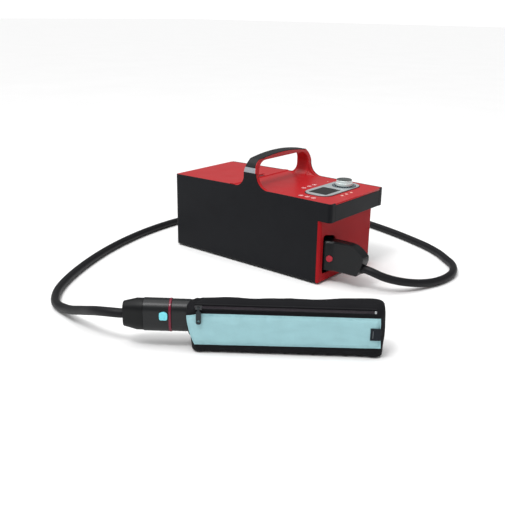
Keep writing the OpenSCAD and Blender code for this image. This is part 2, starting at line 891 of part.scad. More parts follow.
module plug_side() {
    t = plug_z0 + plug_h;
    polygon([[plug_x0, plug_z0 + 1], [plug_x0 + 40, plug_z0], [plug_x1 - 15.5, plug_z0],
             [plug_x1 - 12.5, plug_z0 + 1.5], [plug_x1 - 5.5, plug_z0 + plug_h * 0.25],
             [plug_x1, plug_z0 + plug_h * 0.54], [plug_x1 - 0.5, plug_z0 + plug_h * 0.67],
             [plug_x1 - 8, plug_z0 + plug_h * 0.79], [plug_x1 - 16.5, plug_z0 + plug_h * 0.885],
             [plug_x1 - 25, plug_z0 + plug_h * 0.955], [plug_x1 - 35, t], [plug_x0, t]]);
}

module plug_end() {
    t = plug_z0 + plug_h;
    y1 = plug_y0 + plug_t;
    polygon([[plug_y0, plug_z0 + 2], [plug_y0, t - 3], [plug_y0 + 3, t], [y1 - 3, t],
             [y1, t - 3], [y1, plug_z0 + 2], [y1 - 2, plug_z0], [plug_y0 + 2, plug_z0]]);
}

module plug_shell() {
    color("#1a1c1f") difference() {
        intersection() {
            along_y(plug_y0, plug_y0 + plug_t) plug_side();
            along_x(plug_x0, plug_x1) plug_end();
        }
        for (z = nipple_zs) rod_x(plug_x0 - 1, plug_x0 + 8, nipple_y, z, nipple_r + bore_gap);
        rod_y(plug_y0 - 1, plug_y0 + 5, x_front + 10, plug_z0 + 26, 6.3);
        rod_x(hose_end[0] - 12, plug_x1 + 10, hose_end[1], hose_end[2], hose_d / 2 + 1.5);
    }
}

module plug_button() {
    color("#b3202a") rod_y(plug_y0 - 1.2, plug_y0 + 3, x_front + 10, plug_z0 + 26, 6);
}

module hose_collar() {
    color("#141517") rod_x(hose_end[0] - 12, hose_end[0], hose_end[1], hose_end[2],
                           hose_d / 2 + 1.5);
}

// Points along a smooth curve through the route
function curve_point(a, b, c, d, t) = 0.5 * ((2 * b) + (c - a) * t
    + (2 * a - 5 * b + 4 * c - d) * t * t + (3 * b - a - 3 * c + d) * t * t * t);
function smooth_route(p, n) = let (m = len(p) - 1) [
    for (i = [0:m - 1], k = [0:n - 1])
        curve_point(i == 0 ? 2 * p[0] - p[1] : p[i - 1], p[i], p[i + 1],
                    i == m - 1 ? 2 * p[m] - p[m - 1] : p[i + 2], k / n),
    p[m]
];
function unit(v) = v / norm(v);
function heading(p, i) = let (m = len(p) - 1)
    i == 0 ? unit(p[1] - p[0]) : i == m ? unit(p[m] - p[m - 1]) : unit(p[i + 1] - p[i - 1]);

// A closed solid through rings of equally many points, each end closed to its middle
module skin(rings) {
    n = len(rings[0]);
    m = len(rings);
    mid_a = [for (c = [0:2]) sum_of(rings[0], c) / n];
    mid_b = [for (c = [0:2]) sum_of(rings[m - 1], c) / n];
    pts = concat([for (r = rings) each r], [mid_a, mid_b]);
    walls = [for (i = [0:m - 2], k = [0:n - 1]) let (a = i * n + k, b = i * n + (k + 1) % n)
             each [[a, b + n, b], [a, a + n, b + n]]];
    first = [for (k = [0:n - 1]) [m * n, k, (k + 1) % n]];
    last = [for (k = [0:n - 1]) [m * n + 1, (m - 1) * n + (k + 1) % n, (m - 1) * n + k]];
    polyhedron(points = pts, faces = concat(first, last, walls));
}

function sum_of(ring, c, k = 0) = k == len(ring) ? 0 : ring[k][c] + sum_of(ring, c, k + 1);
function tube_ring(p, i, r, n) = let (t = heading(p, i), s = unit(cross([0, 0, 1], t)),
                                      u = cross(t, s))
    [for (k = [0:n - 1]) let (a = 360 * (k + 0.5) / n) p[i] + r * (cos(a) * s + sin(a) * u)];

module hose() {
    p = smooth_route(hose_route, 2);
    color("#131416") skin([for (i = [0:len(p) - 1]) tube_ring(p, i, hose_d / 2, 10)]);
}

// The wrap's own frame: u along it, v away from its front face
module on_wrap() {
    translate([wrap_at[0], wrap_at[1], 0]) rotate([0, 0, wrap_turn]) children();
}

module conn_section(i) {
    r = conn_t / 2 - i;
    h = conn_h / 2 - i;
    for (s = [-1, 1]) translate([conn_v, conn_z + s * (h - r)]) circle(r);
    translate([conn_v - r, conn_z - h + r]) square([2 * r, 2 * (h - r)]);
}

module connector_boot() {
    color("#17191b") on_wrap() hull() {
        along_x(conn_u, conn_u + 0.5) conn_section(6.5);
        along_x(shell_u - 12, shell_u) conn_section(1);
    }
}

module connector_shell() {
    color("#26292c") on_wrap() difference() {
        along_x(shell_u, ring_u) conn_section(0);
        rod_y(conn_v - conn_t / 2 - 1, conn_v - conn_t / 2 + 7, press_u, press_z,
              button_d / 2 + clear);
    }
}

module connector_button() {
    color("#86e0ec") on_wrap() rod_y(conn_v - conn_t / 2 - 0.8, conn_v - conn_t / 2 + 4,
                                     press_u, press_z, button_d / 2);
}

module connector_ring() {
    color("#7d1430") on_wrap() along_x(ring_u, ring_u + ring_l) conn_section(-0.4);
}

module wrap_coupler() {
    color("#1a1c1f") on_wrap() along_x(ring_u + ring_l, ring_u + ring_l + coupler_l)
        conn_section(0.6);
}

// ---- wrap ----

// Outline of the folded wrap in v and z: upright front, round back, flat underneath.
// g is [u, bottom, height, front, depth, neck], and the neck draws the upper part towards the hose.
function wrap_ring(g) = [for (p = [
    [0.08, 0], [0.01, 0.06], [0, 0.16], [0, 0.24], [0, 0.38], [0, 0.6], [0, 0.8], [0.015, 0.88],
    [0.07, 0.945], [0.17, 0.985], [0.32, 1], [0.5, 0.995], [0.68, 0.96], [0.83, 0.88],
    [0.93, 0.76], [0.99, 0.58], [1, 0.38], [0.99, 0.2], [0.95, 0.07], [0.88, 0], [0.7, 0],
    [0.5, 0], [0.3, 0]])
    [g[0] - g[5] * eased((p[1] - 0.2) / 0.2), g[3] + wrap_d * g[4] * p[0],
     g[1] + wrap_h * g[2] * p[1]]];
function eased(t) = let (c = min(1, max(0, t))) c * c * (3 - 2 * c);

wrap_stations = [
    [-2, 4, 0.88, 4.5, 0.76, 8], [0, 1.5, 0.925, 2.4, 0.85, 8], [4, 0, 0.955, 0.8, 0.93, 8],
    [12, 0, 0.965, 0, 0.98, 7], [30, 0, 0.975, 0, 1, 4], [60, 0, 0.98, 0, 1, 0],
    [105, 0, 0.975, 0, 0.985, 0], [150, 0, 0.995, 0, 1, 0], [195, 0, 0.99, 0, 0.985, 0],
    [240, 0, 1.01, 0, 1, 0], [wrap_l - 20, 0, 1.02, 0, 0.97, 0],
    [wrap_l - 8, 0, 1.01, 0.6, 0.92, 0], [wrap_l - 2, 1.5, 0.965, 2.6, 0.83, 0],
    [wrap_l, 5, 0.9, 5.5, 0.72, 0]
];

module wrap_sleeve() {
    color("#16171a") on_wrap() skin([for (g = wrap_stations) wrap_ring(g)]);
}

module wrap_panel() {
    top = panel_z + panel_h;
    color("#a9d6dc") on_wrap() along_y(-panel_t, 0) polygon([
        [5, panel_z], [wrap_l - 6, panel_z + 3], [wrap_l - 9, top], [14, top],
        [4, top - 4], [-7, top - 6], [-4.5, panel_z + 28]]);
}

module zip_chain() {
    color("#55595c") on_wrap() {
        slab(zip_u0, zip_u1, tape_v, 3.5, zip_z - 6, zip_z + 4);
        slab(zip_u0, zip_u1, tape_v - neck_t, 0, zip_z - neck_w / 2, zip_z + neck_w / 2);
        slab(zip_u0, zip_u1, chain_v, tape_v - neck_t, zip_z - chain_w / 2, zip_z + chain_w / 2);
        slab(zip_u1 - 4, zip_u1, chain_v - 1.6, 0, zip_z - chain_w / 2 - 1,
             zip_z + chain_w / 2 + 1);
    }
}

// Two plates joined round the chain, with ears for the pull's pin
module zip_slider() {
    half = chain_w / 2 + slide_gap;
    color("#c3c8ca") on_wrap() {
        slab(zip_u0, zip_u0 + slider_l, slider_v - 1.4, slider_v, zip_z - half - 1.2,
             zip_z + half + 1.2);
        for (s = [-1, 1]) {
            slab(zip_u0, zip_u0 + slider_l, slider_v - 1, tape_v - slide_gap,
                 zip_z + (s < 0 ? -half - 1.2 : half), zip_z + (s < 0 ? -half : half + 1.2));
            slab(zip_u0, zip_u0 + slider_l, tape_v - neck_t + slide_gap, tape_v - slide_gap,
                 zip_z + (s < 0 ? -half - 1 : neck_w / 2 + slide_gap),
                 zip_z + (s < 0 ? -neck_w / 2 - slide_gap : half + 1));
            slab(pull_u + s * 2.4 - 0.6, pull_u + s * 2.4 + 0.6, pull_v - 1.2, slider_v - 1,
                 zip_z - 1.6, zip_z + 1.6);
        }
        rod_x(pull_u - 3, pull_u + 3, pull_v, zip_z, pull_pin);
    }
}

module zip_pull() {
    color("#3f4447") on_wrap() difference() {
        union() {
            rod_x(pull_u - 1.5, pull_u + 1.5, pull_v, zip_z, pull_pin + 0.8);
            slab(pull_u - 1.5, pull_u + 1.5, pull_v - 1, pull_v + 1, zip_z - 6, zip_z);
            along_y(pull_v - 1, pull_v + 1)
                round_rect(pull_u - 4, pull_u + 4, zip_z - pull_l, zip_z - 5, 3);
        }
        rod_x(pull_u - 2, pull_u + 2, pull_v, zip_z, pull_pin + bore_gap);
        rod_y(-far, 0, pull_u, zip_z - pull_l + 5, 2.2);
    }
}

module side_tag() {
    color("#0d0e0f") on_wrap() slab(wrap_l - 24, wrap_l - 7.5, -panel_t - 1.6, -panel_t,
                                    panel_z + 18, panel_z + 38);
}

base_pan();
foot_strips();
base_screws();
side_shell_near();
side_shell_far();
back_panel();
front_panel();
brow_front();
top_deck();
handle_grip();
handle_band_near();
handle_band_far();
ice_lid();
lid_gasket();
hinge_pin();
lid_latch();
ice_tub();
outlet_filter();
water_pump();
air_pump();
valve_block();
suction_tube();
water_tubes();
air_tube();
control_board();
screen_module();
screen_lens();
console_plate();
dial_ring();
select_knob();
knob_shaft();
encoder_body();
key_1();
key_2();
key_3();
key_4();
key_5();
key_6();
lamp_windows();
power_inlet();
power_rocker();
port_housing();
port_nipples();
plug_shell();
plug_button();
hose_collar();
hose();
connector_boot();
connector_shell();
connector_button();
connector_ring();
wrap_coupler();
wrap_sleeve();
wrap_panel();
zip_chain();
zip_slider();
zip_pull();
side_tag();
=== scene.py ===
import json
import math

import bmesh
import bpy
import numpy as np
from mathutils import Matrix, Vector, noise

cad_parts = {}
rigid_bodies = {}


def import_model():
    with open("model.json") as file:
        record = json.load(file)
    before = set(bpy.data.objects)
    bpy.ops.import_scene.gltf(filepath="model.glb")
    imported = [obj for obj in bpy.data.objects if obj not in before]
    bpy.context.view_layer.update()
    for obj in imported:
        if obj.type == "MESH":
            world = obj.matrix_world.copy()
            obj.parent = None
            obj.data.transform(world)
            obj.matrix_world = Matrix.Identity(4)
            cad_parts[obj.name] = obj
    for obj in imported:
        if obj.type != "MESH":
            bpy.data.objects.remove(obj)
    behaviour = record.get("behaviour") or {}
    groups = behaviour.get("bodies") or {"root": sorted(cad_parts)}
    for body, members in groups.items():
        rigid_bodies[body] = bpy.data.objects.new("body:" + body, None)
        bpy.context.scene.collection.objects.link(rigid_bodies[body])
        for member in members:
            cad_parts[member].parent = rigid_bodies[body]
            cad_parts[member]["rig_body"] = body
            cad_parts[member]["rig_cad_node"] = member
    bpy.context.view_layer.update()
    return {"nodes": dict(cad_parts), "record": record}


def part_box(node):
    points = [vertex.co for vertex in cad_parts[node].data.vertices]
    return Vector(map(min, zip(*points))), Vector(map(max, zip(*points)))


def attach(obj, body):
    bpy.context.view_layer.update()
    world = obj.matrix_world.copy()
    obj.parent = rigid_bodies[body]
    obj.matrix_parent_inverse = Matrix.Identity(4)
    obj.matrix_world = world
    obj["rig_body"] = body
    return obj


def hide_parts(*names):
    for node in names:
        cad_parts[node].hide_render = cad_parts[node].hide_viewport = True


bl_info = {
    "name": "Cold and Heat Therapy Unit",
    "version": (1, 0, 0),
    "blender": (4, 5, 0),
    "location": "View3D > Sidebar > Therapy Unit",
    "description": "Dresses a carried therapy unit, its hose and its zipped wrap",
    "category": "Object",
}

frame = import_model()
NODES = frame["nodes"]

MM = 0.001
WRAP_TURN = math.radians(37)
WRAP_PLACE = Matrix.Translation((0.2, -0.475, 0)) @ Matrix.Rotation(WRAP_TURN, 4, "Z")

# The hose's route from the plug to the connector, as the solids have it, in metres.
FLOOR_RUN = [
    (0.365, 0.09), (0.364, 0.122), (0.355, 0.152), (0.338, 0.18), (0.312, 0.205), (0.281, 0.232),
    (0.24, 0.257), (0.2, 0.275), (0.155, 0.293), (0.105, 0.31), (0.045, 0.326), (-0.025, 0.336),
    (-0.095, 0.334), (-0.16, 0.316), (-0.217, 0.282), (-0.262, 0.234), (-0.294, 0.175),
    (-0.315, 0.11), (-0.326, 0.04), (-0.326, -0.035), (-0.317, -0.11), (-0.299, -0.188),
    (-0.275, -0.26), (-0.243, -0.333), (-0.204, -0.405), (-0.162, -0.464),
]
HOSE_ROUTE = [
    (0.262, -0.0585, 0.043), (0.27, -0.0585, 0.0428), (0.281, -0.0565, 0.0403),
    (0.301, -0.045, 0.0315), (0.321, -0.024, 0.023), (0.338, 0.003, 0.016),
    (0.351, 0.033, 0.0108), (0.36, 0.06, 0.0087), *[(x, y, 0.0082) for x, y in FLOOR_RUN],
    (-0.112, -0.505, 0.009), (-0.058, -0.519, 0.016), (-0.005, -0.528, 0.032),
    (0.04, -0.535, 0.0465), (0.072, -0.532, 0.0526), (0.0873, -0.5248, 0.053),
    (0.0937, -0.52, 0.053),
]


def colour(name, value, words):
    return bpy.props.FloatVectorProperty(name=name, description=words, subtype="COLOR", size=3,
                                         min=0, max=1, default=value)


def length(name, value, words):
    return bpy.props.FloatProperty(name=name, description=words, unit="LENGTH", min=0,
                                   default=value, precision=5)


class CaseLooks(bpy.types.PropertyGroup):
    shell: colour("Shell", (0.0062, 0.0068, 0.0088), "Black of the side shells and the brow")
    deck: colour("Deck", (0.45, 0.013, 0.017), "Red of the deck, the lid and the handle's lining")
    # painted shade: the front panel's red is the deck's red made darker, standing in for the
    # shade on the front face
    front: colour("Front panel", (0.36, 0.01, 0.014), "Deep red of the front panel")
    grip: colour("Grip", (0.0085, 0.0095, 0.011), "Soft black of the grip")
    band: colour("Band", (0.3, 0.33, 0.355), "Grey of the bands on the handle")
    plate: colour("Console plate", (0.47, 0.52, 0.53), "Silver of the console plate")
    dial: colour("Dial ring", (0.03, 0.045, 0.058), "Slate of the ring under the knob")
    knob: colour("Knob", (0.66, 0.74, 0.73), "Pearl of the select knob")
    key: colour("Keys", (0.42, 0.03, 0.04), "Red of the round keys")
    mark: colour("Key marks", (0.9, 0.6, 0.6), "Pale marks on the keys")
    lamp: colour("Lamps", (0.9, 0.5, 0.42), "Amber of the lamp windows")
    release: colour("Plug release", (0.42, 0.012, 0.03), "Red of the plug's release button")
    tub: colour("Ice box", (0.78, 0.8, 0.8), "White of the ice box")
    edge: length("Edge", 0.0009, "Rounding of the moulded edges")
    hand_edge: length("Hand edge", 0.0055, "Rounding of the handle's inner edges")
    plug_edge: length("Plug edge", 0.0032, "Rounding of the plug's long edges")
    grain: length("Grain", 0.0005, "Size of the moulded grain")


class SoftLooks(bpy.types.PropertyGroup):
    cloth: colour("Wrap", (0.006, 0.006, 0.0075), "Black of the wrap's knitted cover")
    panel: colour("Panel", (0.33, 0.56, 0.6), "Light blue of the wrap's front panel")
    thread: colour("Thread", (0.3, 0.55, 0.6), "Thread round the panel")
    hose: colour("Hose", (0.0075, 0.0075, 0.009), "Black of the hose's foam jacket")
    body: colour("Connector", (0.0075, 0.0085, 0.0095), "Charcoal of the connector")
    ring: colour("Connector ring", (0.16, 0.006, 0.025), "Dark red of the connector's ring")
    button: colour("Connector button", (0.2, 0.72, 0.82), "Blue of the connector's button")
    metal: colour("Zip metal", (0.34, 0.35, 0.36), "Silver of the zip's slider and stop")
    teeth: colour("Zip teeth", (0.05, 0.042, 0.05), "Grey of the zip's teeth")
    weave: length("Weave", 0.0009, "Pitch of the cloth's threads")
    stitch: length("Stitch", 0.0042, "Pitch of the stitches")
    puff: length("Puff", 0.003, "How far the wrap's padding may swell")


# ---- tools that every piece uses; lengths in metres unless a name says mm ----

def leave_edit():
    if bpy.context.object and bpy.context.object.mode != "OBJECT":
        bpy.ops.object.mode_set(mode="OBJECT")


def nothing_selected():
    leave_edit()
    bpy.ops.object.select_all(action="DESELECT")


def take(piece):
    nothing_selected()
    piece.select_set(True)
    bpy.context.view_layer.objects.active = piece
    return piece


def edit(piece, mode="FACE"):
    take(piece)
    bpy.ops.object.mode_set(mode="EDIT")
    bpy.ops.mesh.select_mode(type=mode)
    bpy.ops.mesh.select_all(action="DESELECT")
    return bmesh.from_edit_mesh(piece.data)


def pick(piece, kind, test):
    """Selects the faces, edges or verts of the piece in edit mode that pass the test."""
    shape = bmesh.from_edit_mesh(piece.data)
    found = 0
    for part in getattr(shape, kind):
        if test(part):
            part.select_set(True)
            found += 1
    bmesh.update_edit_mesh(piece.data)
    return found


def settle(piece):
    """Leaves the object at the origin, unturned, with its place in its mesh."""
    take(piece)
    bpy.ops.object.transform_apply(location=True, rotation=True, scale=True)
    return piece


def modify(piece, kind, **values):
    take(piece)
    bpy.ops.object.modifier_add(type=kind)
    modifier = piece.modifiers[-1]
    for name, value in values.items():
        setattr(modifier, name, value)
    bpy.ops.object.modifier_apply(modifier=modifier.name)
    return piece


def soften(piece, width, segments=3, angle=32):
    return modify(piece, "BEVEL", width=width, segments=segments, limit_method="ANGLE",
                  angle_limit=math.radians(angle), use_clamp_overlap=True,
                  harden_normals=False, miter_outer="MITER_SHARP")


def smooth(piece, angle=32):
    """Shades the rounded edges smooth and leaves the wide faces flat."""
    take(piece)
    bpy.ops.object.shade_smooth_by_angle(angle=math.radians(angle))
    return modify(piece, "WEIGHTED_NORMAL", keep_sharp=True, weight=50)


def outward(piece):
    edit(piece)
    bpy.ops.mesh.select_all(action="SELECT")
    bpy.ops.mesh.remove_doubles(threshold=1e-6)
    bpy.ops.mesh.normals_make_consistent(inside=False)
    leave_edit()
    return piece


def paint(piece, material):
    piece.data.materials.clear()
    piece.data.materials.append(material)
    return piece


def finish_piece(piece, name, body, slot, material, *stands_for):
    settle(piece)
    piece.name = name
    piece.data.name = name
    paint(piece, material)
    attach(piece, body)
    if stands_for:
        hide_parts(*stands_for)
    return piece


def body_of(node):
    return NODES[node]["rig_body"]


def slot_of(node):
    for row in frame["record"]["subparts"]:
        if row["node"] == node:
            return row["material_slot"]
    raise RuntimeError("no material slot for " + node)


def merged_copy(node, name):
    """A copy of a node's mesh with its loose triangles merged into flat faces."""
    take(NODES[node])
    bpy.ops.object.duplicate()
    piece = bpy.context.object
    bpy.ops.object.parent_clear(type="CLEAR_KEEP_TRANSFORM")
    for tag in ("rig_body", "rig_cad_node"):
        if tag in piece:
            del piece[tag]
    piece.name = name
    edit(piece)
    bpy.ops.mesh.select_all(action="SELECT")
    bpy.ops.mesh.remove_doubles(threshold=2e-6)
    bpy.ops.mesh.dissolve_limited(angle_limit=math.radians(0.4))
    leave_edit()
    return piece


def is_sharp(edge, degrees=32):
    return len(edge.link_faces) == 2 and edge.calc_face_angle(0) > math.radians(degrees)


def round_edges(piece, test, width, segments=4):
    """Rounds the sharp edges that the test picks, wider than the rest."""
    edit(piece, "EDGE")
    if pick(piece, "edges", lambda e: is_sharp(e) and test(e)):
        bpy.ops.mesh.bevel(offset=width, offset_type="OFFSET", segments=segments, profile=0.5,
                           affect="EDGES", clamp_overlap=True)
    leave_edit()
    return piece


def softened(node, name, material, width, segments=3, reshape=None):
    """The node's own shape, reshaped if need be, with its edges rounded."""
    piece = merged_copy(node, name)
    if reshape:
        reshape(piece)
    soften(piece, width, segments)
    smooth(piece)
    return finish_piece(piece, name, body_of(node), slot_of(node), material, node)


def ends(edge):
    return [v.co for v in edge.verts]


def placed(name, data):
    """A new object in the scene for a mesh, a curve, a light or a camera."""
    thing = bpy.data.objects.new(name, data)
    bpy.context.scene.collection.objects.link(thing)
    return thing


def cut_across(shape, spot, normal):
    """Cuts the whole of a mesh in edit mode along a plane."""
    bmesh.ops.bisect_plane(shape, geom=shape.verts[:] + shape.edges[:] + shape.faces[:],
                           plane_co=spot, plane_no=normal)


def raised(piece, *steps):
    """Insets the top of an upright disc and lifts it, step by step."""
    edit(piece)
    pick(piece, "faces", lambda f: f.normal.z > 0.9)
    for inset, lift in steps:
        bpy.ops.mesh.inset(thickness=inset)
        bpy.ops.transform.translate(value=(0, 0, lift))
    leave_edit()


def box_at(low, high):
    """A cuboid primitive between two corners."""
    nothing_selected()
    low, high = Vector(low), Vector(high)
    bpy.ops.mesh.primitive_cube_add(size=1, location=(low + high) / 2)
    piece = bpy.context.object
    piece.scale = high - low
    return settle(piece)


def box_mm(low, high):
    return box_at([c * MM for c in low], [c * MM for c in high])


def disc_at(centre, radius, height, vertices=48, axis="Z"):
    """A cylinder primitive that stands on its centre point along an axis."""
    nothing_selected()
    turn = {"Z": (0, 0, 0), "X": (0, math.pi / 2, 0), "Y": (-math.pi / 2, 0, 0)}[axis]
    step = {"Z": (0, 0, 1), "X": (1, 0, 0), "Y": (0, 1, 0)}[axis]
    middle = Vector(centre) + Vector(step) * height / 2
    bpy.ops.mesh.primitive_cylinder_add(vertices=vertices, radius=radius, depth=height,
                                        location=middle, rotation=turn)
    return settle(bpy.context.object)


def torus_at(centre, radius, thick, squash, segments):
    nothing_selected()
    bpy.ops.mesh.primitive_torus_add(location=centre, major_radius=radius, minor_radius=thick,
                                     major_segments=segments, minor_segments=8)
    ring = bpy.context.object
    ring.scale.z = squash
    return settle(ring)


def joined(pieces, name):
    take(pieces[0])
    for piece in pieces[1:]:
        piece.select_set(True)
    bpy.ops.object.join()
    piece = bpy.context.object
    piece.name = name
    return piece


def to_wrap_place(piece):
    """Moves a piece that was built along the wrap's own axes to where the wrap lies."""
    settle(piece)
    piece.matrix_world = WRAP_PLACE
    return settle(piece)


def wrap_piece(piece, name, slot, material, *stands_for):
    to_wrap_place(piece)
    return finish_piece(piece, name, "unit", slot, material, *stands_for)


def own_copy(piece, name):
    take(piece)
    bpy.ops.object.duplicate()
    copy = bpy.context.object
    copy.name = name
    return copy


# ---- materials ----

def blank(name):
    material = bpy.data.materials.new(name)
    material.use_nodes = True
    tree = material.node_tree
    tree.nodes.clear()
    out = tree.nodes.new("ShaderNodeOutputMaterial")
    surface = tree.nodes.new("ShaderNodeBsdfPrincipled")
    tree.links.new(surface.outputs[0], out.inputs[0])
    return material, tree, surface


def add(tree, kind, inputs=None, **settings):
    node = tree.nodes.new(kind)
    for name, value in settings.items():
        setattr(node, name, value)
    for name, value in (inputs or {}).items():
        if isinstance(value, bpy.types.NodeSocket):
            tree.links.new(value, node.inputs[name])
        else:
            node.inputs[name].default_value = value
    return node


def wire(tree, surface, base, rough, bump=None, **levels):
    """Joins the textures to the surface and sets its plain sockets by name."""
    tree.links.new(base, surface.inputs["Base Color"])
    tree.links.new(rough, surface.inputs["Roughness"])
    if bump:
        tree.links.new(bump.outputs[0], surface.inputs["Normal"])
    for name, level in levels.items():
        surface.inputs[name.replace("_", " ")].default_value = level


def place(tree, turn=0.0, from_map=None):
    """Object coordinates, or the piece's own map, turned about Z."""
    source = add(tree, "ShaderNodeTexCoord").outputs["UV" if from_map else "Object"]
    return add(tree, "ShaderNodeMapping", {"Vector": source, "Rotation": (0, 0, turn),
                                           "Scale": from_map or (1, 1, 1)}).outputs[0]


def tones(tree, where, tone, spread, size, detail=4.0):
    """A colour that wanders a little lighter and darker."""
    cloud = add(tree, "ShaderNodeTexNoise", {"Vector": where, "Scale": 1 / size,
                                             "Detail": detail, "Roughness": 0.6})
    ramp = add(tree, "ShaderNodeValToRGB", {"Fac": cloud.outputs[0]})
    low, high = ramp.color_ramp.elements
    low.position, high.position = 0.3, 0.7
    low.color = (*[c * (1 - spread) for c in tone], 1)
    high.color = (*[min(1, c * (1 + spread)) for c in tone], 1)
    return ramp.outputs["Color"]


def span(tree, value, low, high):
    return add(tree, "ShaderNodeMapRange", {"Value": value, "To Min": low,
                                            "To Max": high}).outputs[0]


def moulded(name, tone, rough=0.42, grain=0.0005, depth=0.00002, spread=0.06, coat=0.0,
            metallic=0.0, specular=0.2):
    """Moulded plastic: a fine grain in its height and a slow change in tone and gloss."""
    material, tree, surface = blank(name)
    where = place(tree)
    pits = add(tree, "ShaderNodeTexNoise", {"Vector": where, "Scale": 1 / grain, "Detail": 2.0})
    bump = add(tree, "ShaderNodeBump", {"Height": pits.outputs[0], "Strength": 0.5,
                                        "Distance": depth})
    slow = add(tree, "ShaderNodeTexNoise", {"Vector": where, "Scale": 28.0, "Detail": 3.0})
    wire(tree, surface, tones(tree, where, tone, spread, 0.045),
         span(tree, slow.outputs[0], rough - 0.05, rough + 0.07), bump, Coat_Weight=coat,
         Coat_Roughness=0.1, Metallic=metallic, Specular_IOR_Level=specular)
    return material


def brushed(name, tone, rough=0.3, along=(1, 60, 1)):
    """Metal or metal paint with fine lines across it."""
    material, tree, surface = blank(name)
    source = add(tree, "ShaderNodeTexCoord").outputs["Object"]
    where = add(tree, "ShaderNodeMapping", {"Vector": source, "Scale": along}).outputs[0]
    lines = add(tree, "ShaderNodeTexNoise", {"Vector": where, "Scale": 60.0, "Detail": 3.0})
    bump = add(tree, "ShaderNodeBump", {"Height": lines.outputs[0], "Strength": 0.25,
                                        "Distance": 0.00001})
    wire(tree, surface, tones(tree, where, tone, 0.06, 0.02),
         span(tree, lines.outputs[0], rough - 0.06, rough + 0.08), bump, Metallic=0.75)
    return material


def threads(tree, where, direction, pitch):
    return add(tree, "ShaderNodeTexWave", {"Vector": where, "Scale": math.tau / (20 * pitch),
                                           "Distortion": 0.4, "Detail": 1.0,
                                           "Detail Scale": 3.0},
               bands_direction=direction).outputs[1]


def woven(name, tone, pitch, rough=0.85, spread=0.12, depth=0.00012, turn=0.0, from_map=None,
          sheen=0.1, up="Z"):
    """Cloth: two crossing sets of threads, tone in soft patches, and a sheen."""
    material, tree, surface = blank(name)
    where = place(tree, turn, from_map)
    warp, weft = threads(tree, where, "X", pitch), threads(tree, where, up, pitch)
    both = add(tree, "ShaderNodeMath", {0: warp, 1: weft}, operation="MAXIMUM").outputs[0]
    nap = add(tree, "ShaderNodeTexNoise", {"Vector": where, "Scale": 1 / (pitch * 0.6),
                                           "Detail": 2.0})
    height = add(tree, "ShaderNodeMath", {0: both, 1: nap.outputs[0]}, operation="ADD").outputs[0]
    bump = add(tree, "ShaderNodeBump", {"Height": height, "Strength": 0.6, "Distance": depth})
    base = tones(tree, where, tone, spread, 0.03)
    dark = add(tree, "ShaderNodeMix", {0: span(tree, both, 0.22, 0.0), 6: base,
                                       7: (*[c * 0.45 for c in tone], 1)}, data_type="RGBA")
    wire(tree, surface, dark.outputs[2], span(tree, nap.outputs[0], rough - 0.08, rough + 0.08),
         bump, Sheen_Weight=sheen, Sheen_Roughness=0.4, Specular_IOR_Level=0.15)
    return material


def glazed(name, tone, rough=0.2):
    """A smoked window: dark and smooth."""
    return moulded(name, tone, rough=rough, grain=0.004, depth=0.000002, spread=0.1,
                   specular=0.12)


def clear_tube(name, tone):
    material, tree, surface = blank(name)
    where = place(tree)
    haze = add(tree, "ShaderNodeTexNoise", {"Vector": where, "Scale": 90.0, "Detail": 2.0})
    wire(tree, surface, tones(tree, where, tone, 0.05, 0.03),
         span(tree, haze.outputs[0], 0.12, 0.3), Transmission_Weight=0.7, IOR=1.45)
    return material


def glowing_window(name, tone):
    material, tree, surface = blank(name)
    where = place(tree)
    ribs = threads(tree, where, "Y", 0.0006)
    wire(tree, surface, tones(tree, where, tone, 0.1, 0.004), span(tree, ribs, 0.2, 0.4),
         Subsurface_Weight=0.15, Subsurface_Scale=0.002)
    return material


# ---- the operators, one for each group of pieces ----

